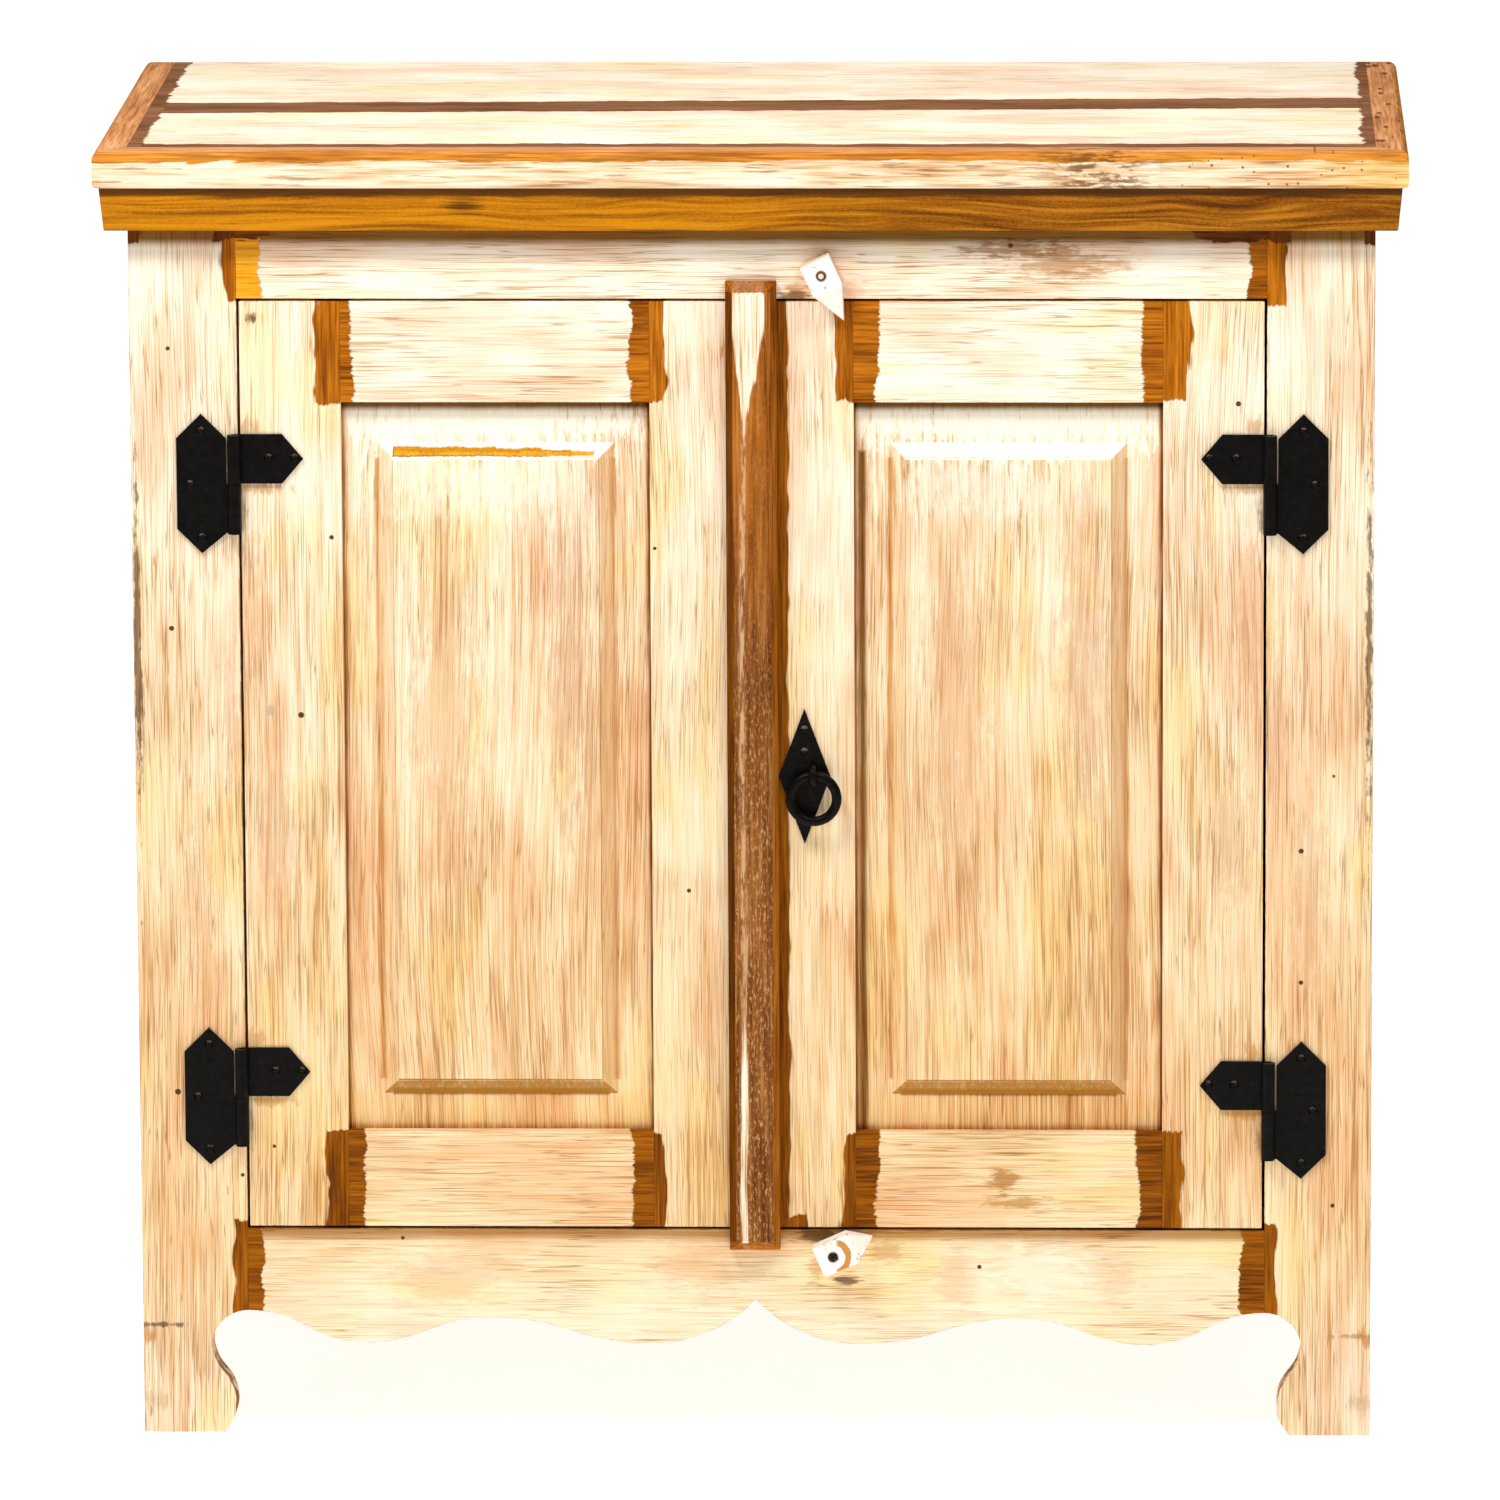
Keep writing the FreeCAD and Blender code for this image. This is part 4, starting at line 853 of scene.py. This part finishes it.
def dress_moulding():
    for name, grain, seed in (
        ("under_moulding_front", "X", 71.0),
        ("under_moulding_left", "Y", 73.0),
        ("under_moulding_right", "Y", 75.0),
    ):
        low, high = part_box(name)
        graph = Graph(name)
        x, y, z = graph.split(graph.place)
        swirl = graph.noise(graph.place, drawn_out(grain, 24, 5), seed, 2)
        swirled = graph.join(x, y, graph.add(z, graph.away(swirl, 0.03)))
        figure = graph.noise(swirled, drawn_out(grain, 330, 9), seed + 1, 3)
        grit = graph.noise(graph.place, drawn_out(grain, 1200, 500), seed + 2)
        value = graph.add(graph.multiply(figure, 0.75), graph.multiply(grit, 0.25))
        light = toned(graph, value, GOLD_LIGHT, (0.36, 0.50, 0.62))
        dark = toned(graph, value, GOLD_DARK)
        darkness = {"under_moulding_left": 0.2, "under_moulding_right": 1.0}.get(name)
        if darkness is None:
            darkness = graph.step(graph.add(x, graph.away(swirl, 0.3)), -0.08, 0.20)
        colour = graph.mix(darkness, light, dark)
        if name == "under_moulding_front":
            distance = spot_distance(graph, x, z, (low.x + 0.2485, low.z + 0.0176), (0.020, 0.006))
            knot = graph.step(graph.add(distance, graph.away(figure, 2.0)), 1.1, 0.3, 0, 0.85)
            colour = graph.mix(knot, colour, srgb(70, 34, 8))
        # A painted shadow cast by the top's overhang darkens the moulding's upper edge.
        rough = graph.noise(graph.place, drawn_out(grain, 300, 30), seed + 4, 3)
        wavering = graph.subtract(z, graph.away(rough, 6 * MM))
        shade = graph.step(wavering, high.z - 8 * MM, high.z - 4.5 * MM, 0, 0.85)
        colour = graph.mix(shade, colour, srgb(78, 44, 14))
        dress(name, graph.finish(colour, 0.55, graph.bump(value, 0.15 * MM), 0.06))
        round_edges(name, 0.6 * MM)


def dress_inside():
    for number, (name, grain) in enumerate((
        ("back_boards", "Z"), ("back_top_rail", "X"), ("back_bottom_rail", "X"), ("floor_boards", "X"),
        ("shelf_boards", "X"), ("cleats", "Y"), ("door_stop_strip", "X"),
    )):
        dress(name, plain_wood(name, grain, 80.0 + number))
        round_edges(name, 0.6 * MM)


# --- Ironwork and turn buttons ---


def iron(name, seed, rust=0.4, lit=0.0):
    """Black forged iron. Rust is how far its patches redden; lit is how strongly a painted highlight pales
    its upward faces.
    """
    graph = Graph(name)
    hammered = graph.noise(graph.place, 160, seed, 3, 0.6)
    grit = graph.noise(graph.place, 900, seed + 1, 2)
    rusty = graph.noise(graph.place, 120, seed + 2, 3, 0.7)
    upright = graph.split(graph.facing)[2]
    colour = graph.ramp(hammered, ((0.35, srgb(4, 4, 3)), (0.65, srgb(14, 12, 9))))
    colour = graph.mix(graph.step(rusty, 0.58, 0.72, 0, rust), colour, srgb(40, 22, 16))
    # A painted highlight on the faces that turn upward.
    colour = graph.mix(graph.step(upright, 0.10, 0.35, 0, lit), colour, srgb(150, 128, 112))
    graph.feed(graph.shader.inputs["Metallic"], 0.2)
    height = graph.add(hammered, graph.multiply(grit, 0.2))
    return graph.finish(colour, graph.step(grit, 0.3, 0.7, 0.32, 0.5), graph.bump(height, 0.4 * MM), 0.10)


def dress_iron():
    names = [name for name in nodes if "leaf" in name or name.startswith("pull_") or name == "hinge_pins"]
    for number, name in enumerate(sorted(names)):
        rust = 0.7 if name == "pull_backplate" else 0.4
        dress(name, iron(name, 100.0 + number, rust, 0.35 if name == "pull_nails" else 0.0))


def screw_spots(name):
    """The middle of each screw's front in a node of several screws."""
    points = front_points(name)
    front = min(point.y for point in points)
    girth = 8 * MM
    heads = []
    for point in points:
        head = next((head for head in heads if (head[0] - point).length < girth), None)
        if head is None:
            heads.append([point])
        else:
            head.append(point)
    spots = []
    for head in heads:
        (left, right), (bottom, top) = spans(head)
        spots.append(Vector(((left + right) / 2, front, (bottom + top) / 2)))
    return spots


def add_slotted_screw(mesh, spot, turn):
    """Add a screw with a domed, slotted head, a little sunk, and the cone and shank behind it."""
    radius, sink, rise = 3.2 * MM, 0.15 * MM, 1.05 * MM
    half_slot, slot_depth = 0.45 * MM, 0.8 * MM
    shank_share, cone_depth, shank_depth = 0.45, 2 * MM, 13.5 * MM
    away = [share * radius for share in (0.98, 0.85, 0.65, 0.4)]
    lines = [(-u, 0) for u in away] + [(-half_slot, 0), (-half_slot, slot_depth)]
    lines += [(-u, deep) for u, deep in reversed(lines)]
    across, along = Vector((cos(turn), 0, sin(turn))), Vector((-sin(turn), 0, cos(turn)))
    rows = []
    for u, deep in lines:
        half = sqrt(radius ** 2 - u ** 2)
        row = []
        for share in (-1, -0.8, -0.4, 0, 0.4, 0.8, 1):
            v = half * share
            depth = sink + rise * (u ** 2 + v ** 2) / radius ** 2 + deep
            row.append(mesh.verts.new(spot + across * u + along * v + Vector((0, depth, 0))))
        rows.append(row)
    faces = []
    for first, second in zip(rows, rows[1:]):
        for a, b, c, d in zip(first, first[1:], second[1:], second):
            faces.append(mesh.faces.new((a, b, c, d)))
    rim = [edge for face in faces for edge in face.edges if edge.is_boundary]
    for share, depth in ((shank_share, cone_depth), (1.0, shank_depth)):
        made = bmesh.ops.extrude_edge_only(mesh, edges=rim)["geom"]
        rim = [item for item in made if isinstance(item, bmesh.types.BMEdge)]
        for corner in {vertex for edge in rim for vertex in edge.verts}:
            off = (corner.co - spot) * share
            corner.co = spot + Vector((off.x, depth, off.z))
    bmesh.ops.holes_fill(mesh, edges=rim)


def make_screws():
    """Slotted screws for the hinge leaves, in place of the plain flush ones."""
    for number, (name, body) in enumerate((
        ("frame_leaf_screws", "carcass"), ("door_left_leaf_screws", "door_left"),
        ("door_right_leaf_screws", "door_right"),
    )):
        mesh = bmesh.new()
        for index, spot in enumerate(screw_spots(name)):
            add_slotted_screw(mesh, spot, 0.5 + 2.2 * index)
        bmesh.ops.recalc_face_normals(mesh, faces=mesh.faces)
        data = bpy.data.meshes.new(f"slotted_{name}")
        mesh.to_mesh(data)
        mesh.free()
        data.materials.append(iron(data.name, 140.0 + number, 0.6, 0.45))
        item = bpy.data.objects.new(data.name, data)
        bpy.context.scene.collection.objects.link(item)
        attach(item, body)
        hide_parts(name)


def off_screw(graph, spot):
    """The offset across and the distance from a screw seen from the front, in metres."""
    x, _y, z = graph.split(graph.place)
    across = graph.subtract(x, spot.x)
    return across, graph.length(across, graph.subtract(z, spot.z))


def button_screws():
    """The middles of the lower and the upper button's screw."""
    return sorted(screw_spots("turn_button_screws"), key=lambda spot: spot.z)


def dress_buttons():
    """Two painted wooden buttons: the top one has bare slopes, the bottom one a bare arc."""
    lower, upper = button_screws()
    for name, seed, bare_slopes, spot in (
        ("turn_button_top", 121.0, 0.75, upper), ("turn_button_bottom", 123.0, 0.12, lower),
    ):
        graph = Graph(name)
        fine = graph.noise(graph.place, (500, 200, 300), seed, 3)
        cloud = graph.noise(graph.place, 90, seed + 1, 2)
        thinness = graph.add(graph.multiply(fine, 0.5), graph.multiply(cloud, 0.5), -0.14)
        colour = graph.ramp(thinness, (
            (0.36, srgb(255, 254, 248)), (0.46, srgb(254, 246, 230)), (0.60, srgb(224, 190, 148)),
        ))
        forward = graph.multiply(graph.split(graph.facing)[1], -1.0)
        colour = graph.mix(graph.step(forward, 0.95, 0.75, 0, bare_slopes), colour, srgb(214, 172, 124))
        across, distance = off_screw(graph, spot)
        if name == "turn_button_bottom":
            wavering = graph.add(distance, graph.away(cloud, 5 * MM))
            arc = graph.step(graph.size(graph.subtract(wavering, 10.5 * MM)), 2.6 * MM, 1.8 * MM)
            arc = graph.multiply(arc, graph.step(across, 1 * MM, 4 * MM))
            colour = graph.mix(arc, colour, srgb(206, 144, 76))
        chip = graph.noise(graph.place, 170, seed + 2, 3)
        colour = graph.mix(graph.step(chip, 0.63, 0.68, 0, 0.7), colour, srgb(176, 120, 66))
        colour = graph.mix(graph.step(distance, 4.6 * MM, 3.4 * MM, 0, 0.6), colour, srgb(150, 112, 76))
        dress(name, graph.finish(colour, 0.6, graph.bump(fine, 0.3 * MM)))
        round_edges(name, 0.8 * MM)


def dress_button_screws():
    """The lower screw is dark iron. The upper one has pale paint left in its middle."""
    name = "turn_button_screws"
    _lower, upper = button_screws()
    graph = Graph(name)
    z = graph.split(graph.place)[2]
    _across, distance = off_screw(graph, upper)
    grit = graph.noise(graph.place, 700, 125.0, 2)
    dark = graph.mix(graph.step(grit, 0.45, 0.6), srgb(24, 20, 18), srgb(64, 54, 48))
    painted = graph.mix(graph.step(distance, 1.5 * MM, 2.2 * MM), srgb(240, 208, 186), srgb(84, 62, 48))
    colour = graph.mix(graph.step(z, upper.z - 0.1, upper.z - 0.05), dark, painted)
    dress(name, graph.finish(colour, 0.5, graph.bump(grit, 0.3 * MM)))


# --- Stage, light and camera ---


def stage():
    """A pale floor that glows a little, more so far away, as a lit backdrop does."""
    mesh = bpy.data.meshes.new("floor")
    reach = 6.0
    corners = [(-reach, -reach, 0), (reach, -reach, 0), (reach, reach * 2, 0), (-reach, reach * 2, 0)]
    mesh.from_pydata(corners, [], [(0, 1, 2, 3)])
    floor = bpy.data.objects.new("floor", mesh)
    bpy.context.scene.collection.objects.link(floor)
    graph = Graph("pale_floor")
    cloud = graph.noise(graph.place, 3.0, 1.0)
    colour = graph.mix(graph.step(cloud, 0.3, 0.7), srgb(246, 246, 246), srgb(250, 250, 250))
    x, y, _z = graph.split(graph.place)
    graph.feed(graph.shader.inputs["Emission Color"], (1, 1, 1))
    near, far, dim, bright = 0.8, 3.0, 0.82, 0.95
    glow = graph.step(graph.length(x, y), near, far, dim, bright)
    graph.feed(graph.shader.inputs["Emission Strength"], glow)
    mesh.materials.append(graph.finish(colour, 0.9))


def light(name, place, target, size, power, colour=(1, 1, 1)):
    data = bpy.data.lights.new(name, "AREA")
    data.shape = "RECTANGLE"
    data.size, data.size_y = size
    data.energy = power
    data.color = colour
    item = bpy.data.objects.new(name, data)
    item.location = place
    item.rotation_mode = "QUATERNION"
    item.rotation_quaternion = (Vector(target) - Vector(place)).to_track_quat("-Z", "Y")
    bpy.context.scene.collection.objects.link(item)


def studio():
    bpy.context.scene.view_settings.view_transform = "Standard"
    world = bpy.data.worlds.new("studio")
    world.use_nodes = True
    background = world.node_tree.nodes["Background"]
    background.inputs["Color"].default_value = (1, 1, 1, 1)
    background.inputs["Strength"].default_value = 0.15
    bpy.context.scene.world = world
    middle = (0, -0.2, 0.6)
    warm = (1, 0.975, 0.94)
    light("key_left", (-0.8, -1.1, 2.3), middle, (0.6, 0.4), 31, warm)
    light("key_right", (0.8, -1.1, 2.3), middle, (0.6, 0.4), 18.5, warm)
    light("overhead", (0, 0.6, 2.4), (0, 0.3, 0.9), (1.6, 0.9), 7)


def camera():
    """Stand where the photographer stood: far off, a little right of the middle, looking down."""
    place = Vector((0.2752, -8.5019, 2.0974))
    yaw, pitch, roll = 0.0334, 0.1918, -0.0049
    focal_length, sensor_width = 294.8, 36
    ahead = Vector((-sin(yaw) * cos(pitch), cos(yaw) * cos(pitch), -sin(pitch)))
    right = Vector((cos(yaw), sin(yaw), 0))
    above = right.cross(ahead)
    right, above = right * cos(roll) + above * sin(roll), above * cos(roll) - right * sin(roll)
    data = bpy.data.cameras.new("camera")
    data.lens = focal_length
    data.sensor_width = sensor_width
    item = bpy.data.objects.new("camera", data)
    turn = Matrix((right, above, -ahead)).transposed()
    item.matrix_world = Matrix.Translation(place) @ turn.to_4x4()
    bpy.context.scene.collection.objects.link(item)
    bpy.context.scene.camera = item


dress_front_stiles()
dress_front_rail()
dress_apron()
dress_door_rails()
dress_door_stiles()
dress_door_panels()
dress_astragal()
dress_ends()
dress_planks()
dress_top_bands()
dress_moulding()
dress_inside()
dress_iron()
make_screws()
dress_buttons()
dress_button_screws()
stage()
studio()
camera()
